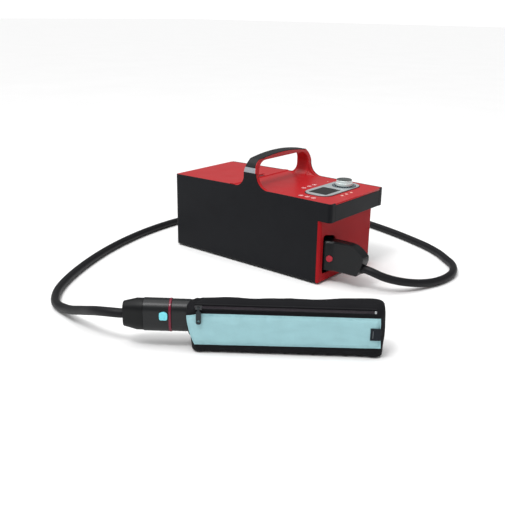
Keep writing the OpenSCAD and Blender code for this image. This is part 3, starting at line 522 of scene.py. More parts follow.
class THERAPY_OT_stage(bpy.types.Operator):
    """Sets the floor, the soft lights and the camera"""
    bl_idname = "therapy.stage"
    bl_label = "Floor, lights and camera"

    def execute(self, context):
        nothing_selected()
        bpy.ops.mesh.primitive_plane_add(size=60, location=(0, 0, -0.0002))
        floor = bpy.context.object
        floor.name = "studio_floor"
        settle(floor)
        paper, tree, surface = blank("floor_paper")
        tree.links.new(tones(tree, place(tree), (0.93, 0.93, 0.93), 0.01, 0.4),
                       surface.inputs["Base Color"])
        surface.inputs["Roughness"].default_value = 0.8
        surface.inputs["Specular IOR Level"].default_value = 0.1
        paint(floor, paper)

        # a dim room for the reflections, behind a white wall that only the camera sees
        world = bpy.data.worlds.new("studio")
        context.scene.world = world
        world.use_nodes = True
        tree = world.node_tree
        room = tree.nodes["Background"]
        room.inputs["Color"].default_value = (1, 1, 1, 1)
        room.inputs["Strength"].default_value = 0.3
        wall = add(tree, "ShaderNodeBackground", {"Color": (1, 1, 1, 1), "Strength": 1.05})
        ray = add(tree, "ShaderNodeLightPath")
        both = add(tree, "ShaderNodeMixShader", {0: ray.outputs["Is Camera Ray"],
                                                 1: room.outputs[0], 2: wall.outputs[0]})
        tree.links.new(both.outputs[0], tree.nodes["World Output"].inputs["Surface"])
        context.scene.view_settings.view_transform = "Standard"

        for name, kind, spot, aim, size, power in (
            ("ceiling", "SUN", (-0.5, -0.6, 3), (0, 0, 0), math.radians(75), 2.45),
            ("key", "AREA", (0.3, -1.5, 2.3), (0.1, -0.1, 0.1), 0.6, 24),
            ("side", "AREA", (2.1, -0.2, 1.2), (0.2, -0.1, 0.1), 1.0, 2.2),
        ):
            light = bpy.data.lights.new("light_" + name, kind)
            setattr(light, "angle" if kind == "SUN" else "size", size)
            light.energy = power
            lamp = placed("light_" + name, light)
            lamp.location = spot
            lamp.rotation_euler = (Vector(aim) - Vector(spot)).to_track_quat("-Z", "Y").to_euler()

        yaw, pitch, roll = map(math.radians, (39.21, 18.76, 0.9))
        ahead = Vector((-math.sin(yaw) * math.cos(pitch), math.cos(yaw) * math.cos(pitch),
                        -math.sin(pitch)))
        level = Vector((math.cos(yaw), math.sin(yaw), 0))
        upward = level.cross(ahead)
        right = math.cos(roll) * level + math.sin(roll) * upward
        up = -math.sin(roll) * level + math.cos(roll) * upward
        lens = bpy.data.cameras.new("photo_camera")
        lens.sensor_width = 36
        lens.lens = 50.81
        camera = placed("photo_camera", lens)
        turn = Matrix((right, up, -ahead)).transposed().to_4x4()
        camera.matrix_world = Matrix.Translation((0.91739, -1.2049, 0.51607)) @ turn
        context.scene.camera = camera
        return {"FINISHED"}


def smooth_route(points, steps):
    """Points along a smooth curve through the route."""
    route = [Vector(p) for p in points]
    route = [2 * route[0] - route[1], *route, 2 * route[-1] - route[-2]]
    found = []
    for a, b, c, d in zip(route, route[1:], route[2:], route[3:]):
        for k in range(steps):
            t = k / steps
            found.append(0.5 * (2 * b + (c - a) * t + (2 * a - 5 * b + 4 * c - d) * t * t
                                + (3 * b - a - 3 * c + d) * t * t * t))
    return [*found, route[-2]]


class THERAPY_OT_hose(bpy.types.Operator):
    """Lays the insulated hose from the plug to the connector"""
    bl_idname = "therapy.hose"
    bl_label = "Hose"

    def execute(self, context):
        looks = context.scene.soft_looks
        points = smooth_route(HOSE_ROUTE, 8)
        line = bpy.data.curves.new("hose_jacket", "CURVE")
        line.dimensions = "3D"
        line.bevel_depth = 0.008
        line.bevel_resolution = 6
        line.use_fill_caps = True
        spline = line.splines.new("POLY")
        spline.points.add(len(points) - 1)
        for spot, place_of in zip(spline.points, points):
            spot.co = (*place_of, 1)
        spline.use_smooth = True
        hose = placed("hose_jacket", line)
        jacket = moulded("hose_foam", looks.hose, rough=0.5, grain=0.0011, depth=0.00006,
                         spread=0.15)
        hose.data.materials.append(jacket)
        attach(hose, "unit")
        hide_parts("hose")
        return {"FINISHED"}


ARCH = {"half": 98.5, "top": 235.5, "wall": 88.3, "soffit": 224.5, "deck": 169, "mid_x": 4}


def outline_height(y, crown, corner):
    """Height of the arch's outer line, a crowned top with round shoulders."""
    reach = ARCH["half"] - corner
    big = (reach * reach + crown * crown) / (2 * crown)
    height = ARCH["top"] - big + math.sqrt(big * big - y * y)
    if abs(y) > reach:
        side = min(corner, abs(y) - reach)
        height = min(height, ARCH["top"] - corner + math.sqrt(corner ** 2 - side * side))
    return height


def ease(value):
    value = min(1, max(0, value))
    return value * value * (3 - 2 * value)


def from_window(y, z, corner):
    """How far a point stands outside the hand opening."""
    y = abs(y)
    cy, cz = ARCH["wall"] - corner, ARCH["soffit"] - corner
    if z <= cz:
        return y - ARCH["wall"]
    if y <= cy:
        return z - ARCH["soffit"]
    return math.hypot(y - cy, z - cz) - corner


def arch_point(spot, lip=0.0):
    """Moves a point of the arch to fuller shoulders, a rounder window and a narrower grip."""
    x, y, z = spot / MM
    if z < 190 or not -13 < x < 21:
        return spot
    side = math.copysign(1, y)
    inner = from_window(y, z, 20)
    outer = max(0, outline_height(y, 6, 36) - z)
    if inner < 0.05:
        if z > 204.5 and abs(y) > 68.25:
            turn = math.atan2(z - 204.5, abs(y) - 68.3)
            y, z = side * (61.3 + 27 * math.cos(turn)), 197.5 + 27 * math.sin(turn)
        elif z <= 204.5:
            z = 190 + (z - 190) * 7.5 / 14.5
    else:
        part = inner / (inner + outer)
        lift = outline_height(y, 4, 38) - outline_height(y, 6, 36)
        drop = lip * ease((92 - abs(y)) / 20) if x > 18.3 and z > 213.5 and outer < 0.3 else 0
        z += (lift * part - drop) * ease((z - 198) / 8)
    x = ARCH["mid_x"] + (x - ARCH["mid_x"]) * (1 - 0.27 * ease((z - 198) / 30))
    return Vector((x, y, z)) * MM


def shaped_arch(piece, lip=0.0):
    shape = edit(piece)
    for height in range(192, 234, 3):
        cut_across(shape, (0, 0, height * MM), (0, 0, 1))
    for v in shape.verts:
        v.co = arch_point(v.co, lip)
    bmesh.update_edit_mesh(piece.data)
    leave_edit()
    return piece


class THERAPY_OT_case(bpy.types.Operator):
    """Dresses the side shells, the front panel, the brow, the back and the base"""
    bl_idname = "therapy.case"
    bl_label = "Case"

    def execute(self, context):
        looks = context.scene.case_looks
        black = moulded("shell_black", looks.shell, rough=0.45, grain=looks.grain,
                        depth=0.00003, spread=0.08, specular=0.13)
        # the front panel's darker red is painted shade of the front face
        red = moulded("front_red", looks.front, rough=0.42, grain=0.0009, depth=0.00001,
                      spread=0.05, specular=0.07)
        for side in ("near", "far"):
            softened("side_shell_" + side, "shell_" + side, black, looks.edge,
                     reshape=shaped_arch)
        softened("front_panel", "front_skin", red, 0.0012)
        softened("brow_front", "brow_skin", black, 0.0011)
        softened("back_panel", "back_skin", black, 0.0005, 2)
        paint(NODES["base_pan"], black)
        rubber = moulded("foot_rubber", (0.012, 0.012, 0.012), rough=0.8, grain=0.0012,
                         depth=0.0001)
        softened("foot_strips", "foot_pads", rubber, 0.0008, 2)
        steel = brushed("screw_steel", (0.55, 0.55, 0.56))
        paint(NODES["base_screws"], steel)
        return {"FINISHED"}


class THERAPY_OT_deck(bpy.types.Operator):
    """Dresses the deck with the handle's lining, the grip, its bands and the latch"""
    bl_idname = "therapy.deck"
    bl_label = "Deck and handle"

    def execute(self, context):
        looks = context.scene.case_looks
        red = moulded("deck_red", looks.deck, rough=0.34, grain=0.0016, depth=0.000008,
                      spread=0.03, specular=0.26)
        grip = moulded("grip_soft", looks.grip, rough=0.5, grain=0.0004, depth=0.00004,
                       specular=0.3)
        band = moulded("band_grey", looks.band, rough=0.35, grain=0.0006, spread=0.04)
        softened("top_deck", "deck_skin", red, 0.0007, reshape=self.opened)
        self.root_blends(red)
        softened("handle_grip", "grip_skin", grip, 0.0017, 4, self.capped)
        for side in ("near", "far"):
            softened("handle_band_" + side, "band_" + side, band, 0.0004, 2, shaped_arch)
        softened("ice_lid", "lid_skin", red, 0.0009)
        # painted shade: the latch is the deck's red at a third, for the shade in the finger notch
        # it sits in
        softened("lid_latch", "latch_button", moulded(
            "latch_red", [c * 0.3 for c in looks.deck], rough=0.3, spread=0.05), 0.0006)
        paint(NODES["lid_gasket"], moulded("gasket_rubber", (0.03, 0.032, 0.034), rough=0.8))
        paint(NODES["hinge_pin"], brushed("pin_steel", (0.6, 0.6, 0.6)))
        return {"FINISHED"}

    def capped(self, grip):
        """Brings the grip's front forward over the lip of the lining."""
        for v in grip.data.vertices:
            if v.co.x > 18.3 * MM:
                v.co.x += 1.6 * MM * ease((92 - abs(v.co.y / MM)) / 20)
        shaped_arch(grip)

    def opened(self, deck):
        """Shapes the arch and rounds the rims of the hand opening, on both its faces."""
        name = "bevel_weight_edge"
        shape = edit(deck, "EDGE")
        mark = shape.edges.layers.float.new(name)
        for edge in shape.edges:
            spots = [v.co / MM for v in edge.verts]
            flat = all(min(abs(p.x + 12), abs(p.x - 20)) < 0.02 for p in spots)
            rim = all(abs(from_window(p.y, p.z, 20)) < 0.05 and p.z > 169.5 for p in spots)
            edge[mark] = 1.0 if flat and rim else 0.0
        bmesh.update_edit_mesh(deck.data)
        leave_edit()
        shaped_arch(deck, 2.0)
        modify(deck, "BEVEL", width=bpy.context.scene.case_looks.hand_edge, segments=5,
               limit_method="WEIGHT", edge_weight=name, use_clamp_overlap=True,
               miter_outer="MITER_ARC")
        if name in deck.data.attributes:
            deck.data.attributes.remove(deck.data.attributes[name])

    def root_blends(self, red):
        """Fillets where the legs' inner walls run out into the deck."""
        wall, deck = ARCH["wall"], ARCH["deck"]
        for side in (-1, 1):
            shape = bmesh.new()
            rows = []
            for k in range(61):
                x = -35.5 + 85.0 * k / 60
                ahead, behind = max(0, x - 20), max(0, -12 - x)
                rise = 40.0
                if ahead:
                    rise = 30 - math.sqrt(max(0, 900 - (30 - ahead) ** 2))
                if behind:
                    rise = 24 - math.sqrt(max(0, 576 - (24 - behind) ** 2))
                reach = max(0.05, min(17.0, 0.8 * rise))
                row = [shape.verts.new(Vector((x, side * (wall + 0.2), deck - 0.2)) * MM)]
                for step in range(9):
                    turn = math.pi / 2 * step / 8
                    y = wall - reach + reach * math.sin(turn)
                    z = deck + reach - reach * math.cos(turn)
                    row.append(shape.verts.new(Vector((x, side * y, z)) * MM))
                rows.append(row)
            for one, two in zip(rows, rows[1:]):
                for i in range(len(one)):
                    j = (i + 1) % len(one)
                    shape.faces.new((one[i], one[j], two[j], two[i]))
            shape.faces.new(rows[0])
            shape.faces.new(reversed(rows[-1]))
            bmesh.ops.recalc_face_normals(shape, faces=shape.faces[:])
            name = "root_blend_" + ("near" if side < 0 else "far")
            data = bpy.data.meshes.new(name)
            shape.to_mesh(data)
            shape.free()
            blend = placed(name, data)
            smooth(blend, 50)
            finish_piece(blend, name, "unit", slot_of("top_deck"), red)


def key_mark(kind, centre, size, thick):
    """One pale generic mark: a triangle, two bars or a ring."""
    x, y, z = centre
    if kind == "ring":
        mark = torus_at(centre, size * 0.8, size * 0.17, thick / (size * 0.2), 28)
    elif kind in ("up", "down", "go"):
        nothing_selected()
        turn = {"up": math.pi / 2, "down": -math.pi / 2, "go": 0}[kind]
        bpy.ops.mesh.primitive_cylinder_add(vertices=3, radius=size, depth=thick * 2,
                                            location=centre, rotation=(0, 0, turn))
        mark = settle(bpy.context.object)
    else:
        mark = joined([box_at((x - size * 0.8, y + (step * 0.45 - 0.2) * size, z - thick),
                              (x + size * 0.8, y + (step * 0.45 + 0.2) * size, z + thick))
                       for step in (-1, 1)], "key_mark")
    return soften(mark, thick * 0.6, 2, 40)


class THERAPY_OT_console(bpy.types.Operator):
    """Dresses the console: plate, screen, knob, keys and lamps"""
    bl_idname = "therapy.console"
    bl_label = "Console"
    # how far the black frame of painted shade reaches past the plate
    seam = 0.0011

    def execute(self, context):
        looks = context.scene.case_looks
        plate = moulded("plate_silver", looks.plate, rough=0.36, grain=0.0004, depth=0.000012,
                        spread=0.03, metallic=0.45)
        # painted shade: a black frame a little wider than the plate, laid flat under its rim,
        # stands in for the shadow in the gap between plate and deck
        gap = merged_copy("console_plate", "plate_gap")
        low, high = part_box("console_plate")
        for v in gap.data.vertices:
            v.co.x += math.copysign(self.seam, v.co.x - (low.x + high.x) / 2)
            v.co.y += math.copysign(self.seam, v.co.y - (low.y + high.y) / 2)
            v.co.z = low.z + (0.0005 if v.co.z > low.z + 0.001 else -0.0002)
        finish_piece(gap, "plate_gap", "unit", slot_of("console_plate"),
                     moulded("gap_black", (0.006, 0.007, 0.008), rough=0.6))
        softened("console_plate", "console_skin", plate, 0.0006)
        softened("dial_ring", "dial_skin",
                 moulded("dial_slate", looks.dial, rough=0.38, spread=0.05), 0.0003, 2)
        softened("screen_lens", "screen_window", glazed("screen_glass", (0.0015, 0.004, 0.005)),
                 0.0003, 2)
        paint(NODES["screen_module"], moulded("module_black", (0.02, 0.02, 0.022), rough=0.6))
        self.knob(looks)
        self.dial_ticks(looks)
        self.keys(looks)
        lamp = glowing_window("lamp_amber", looks.lamp)
        softened("lamp_windows", "lamp_lenses", lamp, 0.0004, 2)
        return {"FINISHED"}

    def knob(self, looks):
        low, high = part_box("select_knob")
        centre = (low + high) / 2
        height, radius = (high.z - low.z) * 1.12, (high.x - low.x) / 2 * 1.07
        knob = disc_at((centre.x, centre.y, low.z), radius, height * 0.42, 96)
        raised(knob, (0.0012, 0.0006), (0.0008, height * 0.36), (0.0014, height * 0.12),
               (0.0022, -0.0006), (0.007, -0.0005))
        # finger flutes: every second column of the upper side is drawn in a little
        for v in knob.data.vertices:
            out = Vector((v.co.x - centre.x, v.co.y - centre.y))
            turn = round(math.atan2(out.y, out.x) / (math.tau / 96))
            if turn % 4 == 0 and v.co.z > low.z + height * 0.44 and out.length > radius - 0.0025:
                v.co.x -= out.x * 0.03
                v.co.y -= out.y * 0.03
        soften(knob, 0.0003, 2, 24)
        smooth(knob, 28)
        pearl = moulded("knob_pearl", looks.knob, rough=0.24, grain=0.0012, depth=0.000008,
                        spread=0.03, metallic=0.2, coat=0.3)
        finish_piece(knob, "knob_cap", body_of("select_knob"), "knob_white", pearl,
                     "select_knob")
        top = low.z + height
        cap = disc_at((centre.x, centre.y, top - 0.0011), radius - 0.0024, 0.001, 64)
        soften(cap, 0.0003, 2)
        smooth(cap)
        finish_piece(cap, "knob_top", body_of("select_knob"), "silver",
                     brushed("knob_satin", (0.16, 0.18, 0.175), rough=0.4, along=(60, 1, 1)))
        spot = box_at((centre.x - radius * 0.66, centre.y - 0.0007, top - 0.0003),
                      (centre.x - radius * 0.2, centre.y + 0.0007, top + 0.0002))
        soften(spot, 0.0002, 2)
        finish_piece(spot, "knob_pointer", body_of("select_knob"), "dial_blue",
                     moulded("pointer_slate", looks.dial, rough=0.4))
        paint(NODES["knob_shaft"], brushed("shaft_steel", (0.6, 0.6, 0.6)))

    def dial_ticks(self, looks):
        low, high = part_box("dial_ring")
        centre = (low + high) / 2
        reach = (high.x - low.x) / 2
        ticks = []
        for k in range(24):
            turn = math.radians(15 * k)
            nothing_selected()
            bpy.ops.mesh.primitive_cube_add(size=1)
            tick = bpy.context.object
            tick.scale = (0.0026 if k % 3 else 0.004, 0.0006, 0.0003)
            tick.location = (centre.x + (reach - 0.0034) * math.cos(turn),
                             centre.y + (reach - 0.0034) * math.sin(turn), high.z + 0.0001)
            tick.rotation_euler = (0, 0, turn)
            ticks.append(settle(tick))
        ring = joined(ticks, "dial_ticks")
        soften(ring, 0.0001, 1)
        finish_piece(ring, "dial_ticks", "unit", "silver",
                     moulded("tick_pale", (0.6, 0.66, 0.68), rough=0.5, spread=0.05))

    def keys(self, looks):
        red = moulded("key_red", looks.key, rough=0.35, grain=0.0006, spread=0.05, coat=0.2)
        pale = moulded("mark_pale", looks.mark, rough=0.5, spread=0.04)
        kinds = ("up", "ring", "down", "bars", "go", "ring")
        for k, kind in enumerate(kinds, start=1):
            node = "key_%d" % k
            low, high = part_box(node)
            centre = ((low.x + high.x) / 2, (low.y + high.y) / 2)
            radius = (high.x - low.x) / 2 - 0.001
            base = high.z - 0.0042
            key = disc_at((*centre, base), radius, 0.0042, 40)
            raised(key, (0.0012, 0), (0.0012, -0.0003))
            soften(key, 0.0003, 2, 40)
            smooth(key, 30)
            finish_piece(key, "button_%d" % k, body_of(node), slot_of(node), red, node)
            top = (*centre, high.z - 0.0002)
            mark = key_mark(kind, top, 0.0024, 0.0003)
            mark = joined([mark, torus_at(top, radius - 0.0008, 0.00075, 0.4, 32)], "key_mark")
            finish_piece(mark, "button_mark_%d" % k, body_of(node), slot_of(node), pale)


class THERAPY_OT_fittings(bpy.types.Operator):
    """Dresses the port, the plug and the plug's release button"""
    bl_idname = "therapy.fittings"
    bl_label = "Port and plug"
    flare_out = 0.0105
    flare_run = 0.026

    def flare_at(self, x):
        """How far the plug's near face stands out at a distance from its port."""
        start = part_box("plug_shell")[0].x + 0.045
        return self.flare_out * ease((start - x) / self.flare_run)

    def flared(self, shell):
        """Rounds the plug's long edges and flares its near face toward the port."""
        low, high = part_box("plug_shell")

        def long_edge(edge):
            a, b = ends(edge)
            return min(a.x, b.x) > low.x + 0.012 and (a - b).length > 0.004

        round_edges(shell, long_edge, bpy.context.scene.case_looks.plug_edge, 5)
        shape = edit(shell)
        for step in range(1, 9):
            cut_across(shape, (low.x + 0.045 - step * 0.005, 0, 0), (1, 0, 0))
        for v in shape.verts:
            if v.co.y < (low.y + high.y) / 2:
                v.co.y -= self.flare_at(v.co.x)
        bmesh.update_edit_mesh(shell.data)
        leave_edit()

    def execute(self, context):
        looks = context.scene.case_looks
        dark = moulded("port_black", (0.005, 0.0055, 0.0065), rough=0.45, grain=0.0007)
        softened("port_housing", "port_skin", dark, 0.0005, 2)
        paint(NODES["port_nipples"], brushed("nipple_steel", (0.55, 0.56, 0.57)))
        plug = moulded("plug_black", (0.0075, 0.0085, 0.0095), rough=0.3, grain=0.0006,
                       depth=0.00001, specular=0.22)
        softened("plug_shell", "plug_skin", plug, 0.0008, reshape=self.flared)
        low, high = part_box("plug_button")
        centre = (low + high) / 2
        lean = math.atan(1.5 * self.flare_out / self.flare_run)
        shift = self.flare_at(centre.x)
        button = disc_at((0, -0.0016, 0), (high.x - low.x) / 2 + 0.0006, 0.004, 48, "Y")
        edit(button)
        pick(button, "faces", lambda f: f.normal.y < -0.9)
        bpy.ops.mesh.inset(thickness=0.0012)
        bpy.ops.mesh.inset(thickness=0.001)
        bpy.ops.transform.translate(value=(0, 0.0005, 0))
        leave_edit()
        soften(button, 0.0004, 3, 40)
        smooth(button)
        button.rotation_euler.z = lean
        button.location = (centre.x, low.y + 0.0012 - shift, centre.z)
        finish_piece(button, "release_button", body_of("plug_button"), "button_red",
                     moulded("release_red", looks.release, rough=0.3, specular=0.4),
                     "plug_button")
        softened("hose_collar", "collar_skin", dark, 0.001, 3)
        return {"FINISHED"}


class THERAPY_OT_connector(bpy.types.Operator):
    """Builds the inline connector: boot, shell, button, ring and coupler"""
    bl_idname = "therapy.connector"
    bl_label = "Connector"

    def execute(self, context):
        looks = context.scene.soft_looks
        body = moulded("connector_charcoal", looks.body, rough=0.34, grain=0.0006, spread=0.06,
                       specular=0.3)
        boot = moulded("boot_black", [c * 0.55 for c in looks.body], rough=0.45, spread=0.1)
        ring = moulded("ring_red", looks.ring, rough=0.3, coat=0.3)
        softened("connector_boot", "boot_skin", boot, 0.0012, 3)
        softened("connector_shell", "connector_skin", body, 0.0011, 3)
        softened("connector_ring", "ring_skin", ring, 0.0008, 3)
        softened("wrap_coupler", "coupler_skin", body, 0.001, 3)
        blue = moulded("button_blue", looks.button, rough=0.28, coat=0.3)
        press = box_mm((-51.5, 6.9, 51.5), (-38.5, 8.4, 64.5))
        round_edges(press, lambda e: abs(ends(e)[0].y - ends(e)[1].y) > 0.001, 0.003, 5)
        soften(press, 0.0004, 3)
        stem = disc_at((-45 * MM, 8 * MM, 58 * MM), 0.0068, 0.0055, 48, "Y")
        press = joined([press, stem], "connector_press")
        smooth(press)
        to_wrap_place(press)
        finish_piece(press, "connector_press", body_of("connector_button"),
                     slot_of("connector_button"), blue, "connector_button")
        return {"FINISHED"}


class THERAPY_OT_wrap(bpy.types.Operator):
    """Builds the padded wrap with its blue panel, tag and stitches"""
    bl_idname = "therapy.wrap"
    bl_label = "Wrap"

    def execute(self, context):
        looks = context.scene.soft_looks
        self.sleeve(looks)
        self.panel(looks)
        self.tag(looks)
        return {"FINISHED"}

    def spots_of(self, piece):
        spots = np.empty(len(piece.data.vertices) * 3)
        piece.data.vertices.foreach_get("co", spots)
        return spots.reshape(-1, 3)

    def puffed(self, sleeve, reach):
        """Blows the padding up with a cloth simulation, no point further than the reach."""
        start = self.spots_of(sleeve)
        take(sleeve)
        bpy.ops.object.modifier_add(type="CLOTH")
        cloth = sleeve.modifiers[-1]
        cloth.settings.use_pressure = True
        cloth.settings.uniform_pressure_force = 4
        cloth.settings.effector_weights.gravity = 0
        cloth.settings.mass = 0.3
        cloth.settings.tension_stiffness = 15
        for step in range(1, 21):
            bpy.context.scene.frame_set(step)
        bpy.ops.object.modifier_apply(modifier=cloth.name)
        bpy.context.scene.frame_set(1)
        step = self.spots_of(sleeve) - start
        far = np.linalg.norm(step, axis=1, keepdims=True)
        step *= np.minimum(1, reach / np.maximum(far, 1e-9))
        sleeve.data.vertices.foreach_set("co", (start + step).ravel())

    def sleeve(self, looks):
        sleeve = merged_copy("wrap_sleeve", "wrap_padding")
        modify(sleeve, "REMESH", mode="VOXEL", voxel_size=0.0045)
        self.puffed(sleeve, looks.puff)
        # then the sag of the soft cover: ripples, a flat foot and the folded end by the zip
        back = WRAP_PLACE.inverted()
        for v in sleeve.data.vertices:
            u, depth, z = (back @ v.co) / MM
            ripple = noise.noise(Vector((u * 0.038, depth * 0.02, z * 0.03)))
            z += 0.7 * ripple * min(1, z / 20) - 2.6 * ease((z - 60) / 25) * ease((90 - u) / 80)
            z = max(0.3, z - 2.4 * max(0, 1 - z / 10))
            depth = max(-0.6, depth + 0.6 * ripple - 1.6 * max(0, 1 - abs(depth) / 8))
            if u < 22 and z > 70:
                fold = noise.noise(Vector((u * 0.16, depth * 0.11, 7.0)))
                z -= (2.5 + 5 * fold) * ease((22 - u) / 16)
            v.co = WRAP_PLACE @ (Vector((u, depth, z)) * MM)
        modify(sleeve, "SUBSURF", levels=1, render_levels=1)
        smooth(sleeve, 60)
        knit = woven("wrap_knit", looks.cloth, looks.weave, rough=0.8, turn=-WRAP_TURN,
                     sheen=0.02, depth=0.00015)
        finish_piece(sleeve, "wrap_padding", "unit", "cloth_black", knit, "wrap_sleeve")

    def panel(self, looks):
        low_left, low_right, high_left, high_right = (5, 16), (297, 19), (-7, 65), (294, 69.5)
        left = [low_left, (-1.5, 32), (-4.5, 44), (-6.5, 56), high_left]
        top = [high_left, (4, 66.5), (14, 68.8), (60, 69.2), high_right]
        corners = (low_left, low_right, high_left, high_right)

        def along(line, t):
            """The point at a share of a line's length."""
            spans = [math.dist(a, b) for a, b in zip(line, line[1:])]
            reach = t * sum(spans)
            for a, b, gap in zip(line, line[1:], spans):
                if reach <= gap + 1e-9:
                    return [p + (q - p) * reach / gap for p, q in zip(a, b)]
                reach -= gap
            return line[-1]

        nothing_selected()
        bpy.ops.mesh.primitive_grid_add(x_subdivisions=200, y_subdivisions=44, size=2)
        panel = bpy.context.object
        for v in panel.data.vertices:
            s, t = (v.co.x + 1) / 2, (v.co.y + 1) / 2
            shares = ((1 - s) * (1 - t), s * (1 - t), (1 - s) * t, s * t)
            lines = ((1 - t, along((low_left, low_right), s)), (t, along(top, s)),
                     (1 - s, along(left, t)), (s, along((low_right, high_right), t)))
            u, z = (sum(part * spot[i] for part, spot in lines)
                    - sum(part * spot[i] for part, spot in zip(shares, corners))
                    for i in (0, 1))
            rim = min(s * 292, (1 - s) * 292, t * 55, (1 - t) * 55)
            crown = 2.6 * (1 - math.exp(-max(0, rim - 1.2) / 3.4))
            seam = 1.3 * math.exp(-((rim - 3.2) / 0.8) ** 2)
            wave = noise.noise(Vector((u * 0.03, z * 0.1, 0.3))) * 0.9
            pucker = noise.noise(Vector((u * 0.2, z * 0.04, 4.1))) * 1.5 * math.exp(-rim / 6)
            front = -(0.7 + crown - seam + (wave + pucker) * min(1, rim / 4))
            v.co = Vector((u, front, z)) * MM
        modify(panel, "SOLIDIFY", thickness=0.0006, offset=1)
        outward(panel)
        to_wrap_place(panel)
        smooth(panel, 60)
        cloth = woven("panel_weave", looks.panel, looks.weave, rough=0.7, spread=0.05,
                      depth=0.00008, from_map=(292 * MM, 55 * MM, 1), up="Y", sheen=0.3)
        finish_piece(panel, "wrap_front", "unit", "cloth_blue", cloth, "wrap_panel")
        self.stitches(looks)

    def stitches(self, looks):
        thread = moulded("panel_thread", looks.thread, rough=0.7, grain=0.0003, depth=0.00003)
        line = [(8, 19.4), (1.8, 34), (-1, 45), (-3, 56), (-3.4, 62.6), (5, 63.6), (15, 65.6),
                (290.6, 66), (293.4, 22.4)]
        line.append(line[0])
        nothing_selected()
        bpy.ops.mesh.primitive_cylinder_add(vertices=6, radius=0.00035, depth=0.0026,
                                            rotation=(0, math.pi / 2, 0))
        stitch = settle(bpy.context.object)
        soften(stitch, 0.0002, 1, 60)
        seed = [v.co.copy() for v in stitch.data.vertices]
        faces = [list(p.vertices) for p in stitch.data.polygons]
        spots, shapes = [], []
        proud = 0.0017
        for a, b in zip(line, line[1:]):
            count = max(1, round(math.dist(a, b) * MM / looks.stitch))
            turn = math.atan2(b[1] - a[1], b[0] - a[0])
            across, up = math.cos(turn), math.sin(turn)
            for k in range(count):
                t = (k + 0.5) / count
                u, z = a[0] + (b[0] - a[0]) * t, a[1] + (b[1] - a[1]) * t
                first = len(spots)
                for co in seed:
                    spots.append((u * MM + co.x * across - co.z * up, co.y - proud,
                                  z * MM + co.x * up + co.z * across))
                shapes.extend([[first + i for i in face] for face in faces])
        take(stitch)
        bpy.ops.object.delete()
        data = bpy.data.meshes.new("panel_stitches")
        data.from_pydata(spots, [], shapes)
        seam = to_wrap_place(placed("panel_stitches", data))
        smooth(seam, 50)
        finish_piece(seam, "panel_stitches", "unit", "cloth_blue", thread)

    def tag(self, looks):
        tag = box_mm((279, -5.0, 34), (295.5, -3.5, 54))
        edit(tag)
        bpy.ops.mesh.select_all(action="SELECT")
        bpy.ops.mesh.subdivide(number_cuts=6)
        leave_edit()
        for v in tag.data.vertices:
            lift = math.sin((v.co.x / MM - 279) / 16.5 * math.pi)
            v.co.y -= 0.0006 * lift
        soften(tag, 0.0003, 2)
        smooth(tag)
        label = woven("tag_satin", (0.008, 0.011, 0.016), 0.0004, rough=0.45, spread=0.1,
                      turn=-WRAP_TURN, depth=0.00004, sheen=0.1)
        wrap_piece(tag, "tag_cloth", "cloth_black", label, "side_tag")
        line = box_mm((282.6, -5.9, 38), (283.6, -5.2, 50))
        soften(line, 0.0002, 2)
        wrap_piece(line, "tag_seam", "charcoal",
                   moulded("tag_grey", (0.12, 0.13, 0.14), rough=0.7))


class THERAPY_OT_zip(bpy.types.Operator):
    """Builds the zip: tape, teeth, slider, pull and stop"""
    bl_idname = "therapy.zip"
    bl_label = "Zip"

    def execute(self, context):
        looks = context.scene.soft_looks
        tape = box_mm((6, -0.9, 74), (287, 2.5, 84.5))
        soften(tape, 0.0005, 2)
        smooth(tape)
        wrap_piece(tape, "zip_tape", "cloth_black",
                   woven("tape_weave", looks.cloth, 0.0006, rough=0.75, turn=-WRAP_TURN),
                   "zip_chain")
        tooth = box_mm((6, -3.2, 79.6), (7, -0.9, 82.3))
        soften(tooth, 0.00025, 1)
        other = own_copy(tooth, "zip_tooth_low")
        other.location = (0.8 * MM, 0, -1.9 * MM)
        settle(other)
        teeth = joined([tooth, other], "zip_teeth")
        modify(teeth, "ARRAY", count=174, use_relative_offset=False, use_constant_offset=True,
               constant_offset_displace=(1.6 * MM, 0, 0))
        to_wrap_place(teeth)
        smooth(teeth, 40)
        finish_piece(teeth, "zip_teeth", "unit", "charcoal",
                     moulded("teeth_grey", looks.teeth, rough=0.35, spread=0.1, metallic=0.4))
        silver = brushed("zip_silver", looks.metal, rough=0.26)
        stop = box_mm((283.4, -4.6, 78.6), (286.8, -2.6, 83))
        soften(stop, 0.0006, 3)
        smooth(stop)
        wrap_piece(stop, "zip_stop", "steel", silver)
        softened("zip_slider", "slider_body",
                 brushed("slider_dark", (0.05, 0.052, 0.055), rough=0.34), 0.0003, 2,
                 self.drawn_in)
        softened("zip_pull", "pull_tab",
                 moulded("pull_rubber", (0.02, 0.026, 0.03), rough=0.45), 0.0004, 2)
        return {"FINISHED"}

    def drawn_in(self, slider):
        """Draws the slider in about its middle, so that it ends short of the stop."""
        back = WRAP_PLACE.inverted()
        middle, height = 12.5, 80
        for v in slider.data.vertices:
            spot = back @ v.co
            spot.x = (middle + (spot.x / MM - middle) * 0.76) * MM
            spot.z = (height + (spot.z / MM - height) * 0.86) * MM
            v.co = WRAP_PLACE @ spot


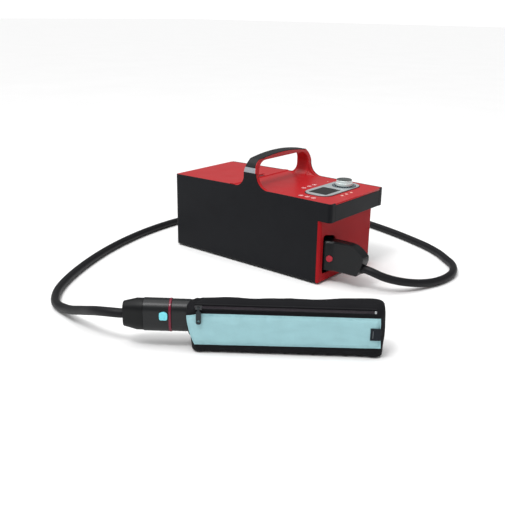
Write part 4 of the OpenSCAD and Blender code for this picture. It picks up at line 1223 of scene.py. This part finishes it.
class THERAPY_OT_inside(bpy.types.Operator):
    """Dresses the ice box, the pumps, the tubes, the board and the power inlet"""
    bl_idname = "therapy.inside"
    bl_label = "Inside"

    def execute(self, context):
        looks = context.scene.case_looks
        tub = moulded("tub_white", looks.tub, rough=0.35, grain=0.002, spread=0.03)
        grey = moulded("pump_grey", (0.07, 0.075, 0.08), rough=0.5)
        dark = moulded("inlet_black", (0.012, 0.012, 0.014), rough=0.4)
        soft = clear_tube("tube_clear", (0.8, 0.84, 0.84))
        board = moulded("board_green", (0.02, 0.11, 0.05), rough=0.35, grain=0.003, spread=0.2,
                        coat=0.4)
        for material, names in (
            (tub, ("ice_tub",)),
            (grey, ("outlet_filter", "water_pump", "air_pump", "valve_block", "encoder_body")),
            (soft, ("suction_tube", "water_tubes", "air_tube")),
            (board, ("control_board",)),
        ):
            for name in names:
                paint(NODES[name], material)
        softened("power_inlet", "inlet_skin", dark, 0.0004, 2)
        softened("power_rocker", "rocker_skin", dark, 0.0006, 3)
        return {"FINISHED"}


class THERAPY_OT_declare(bpy.types.Operator):
    bl_idname = "therapy.declare"
    bl_label = "Declare the hose"

    def execute(self, context):
        return {"FINISHED"}


STEPS = (THERAPY_OT_stage, THERAPY_OT_hose, THERAPY_OT_case, THERAPY_OT_deck,
         THERAPY_OT_console, THERAPY_OT_fittings, THERAPY_OT_connector, THERAPY_OT_wrap,
         THERAPY_OT_zip, THERAPY_OT_inside, THERAPY_OT_declare)


class THERAPY_PT_unit(bpy.types.Panel):
    """Lists the steps that dress the unit, with their colours and sizes"""
    bl_label = "Therapy Unit"
    bl_idname = "THERAPY_PT_unit"
    bl_space_type = "VIEW_3D"
    bl_region_type = "UI"
    bl_category = "Therapy Unit"

    def draw(self, context):
        for step in STEPS:
            self.layout.operator(step.bl_idname)
        for group in (context.scene.case_looks, context.scene.soft_looks):
            for name in group.bl_rna.properties.keys():
                if name not in ("rna_type", "name"):
                    self.layout.prop(group, name)


CLASSES = (CaseLooks, SoftLooks, *STEPS, THERAPY_PT_unit)


def register():
    for kind in CLASSES:
        bpy.utils.register_class(kind)
    bpy.types.Scene.case_looks = bpy.props.PointerProperty(type=CaseLooks)
    bpy.types.Scene.soft_looks = bpy.props.PointerProperty(type=SoftLooks)


def unregister():
    del bpy.types.Scene.soft_looks
    del bpy.types.Scene.case_looks
    for kind in reversed(CLASSES):
        bpy.utils.unregister_class(kind)


def main():
    register()
    for step in STEPS:
        group, name = step.bl_idname.split(".")
        getattr(getattr(bpy.ops, group), name)()
    nothing_selected()


if __name__ == "__main__":
    main()
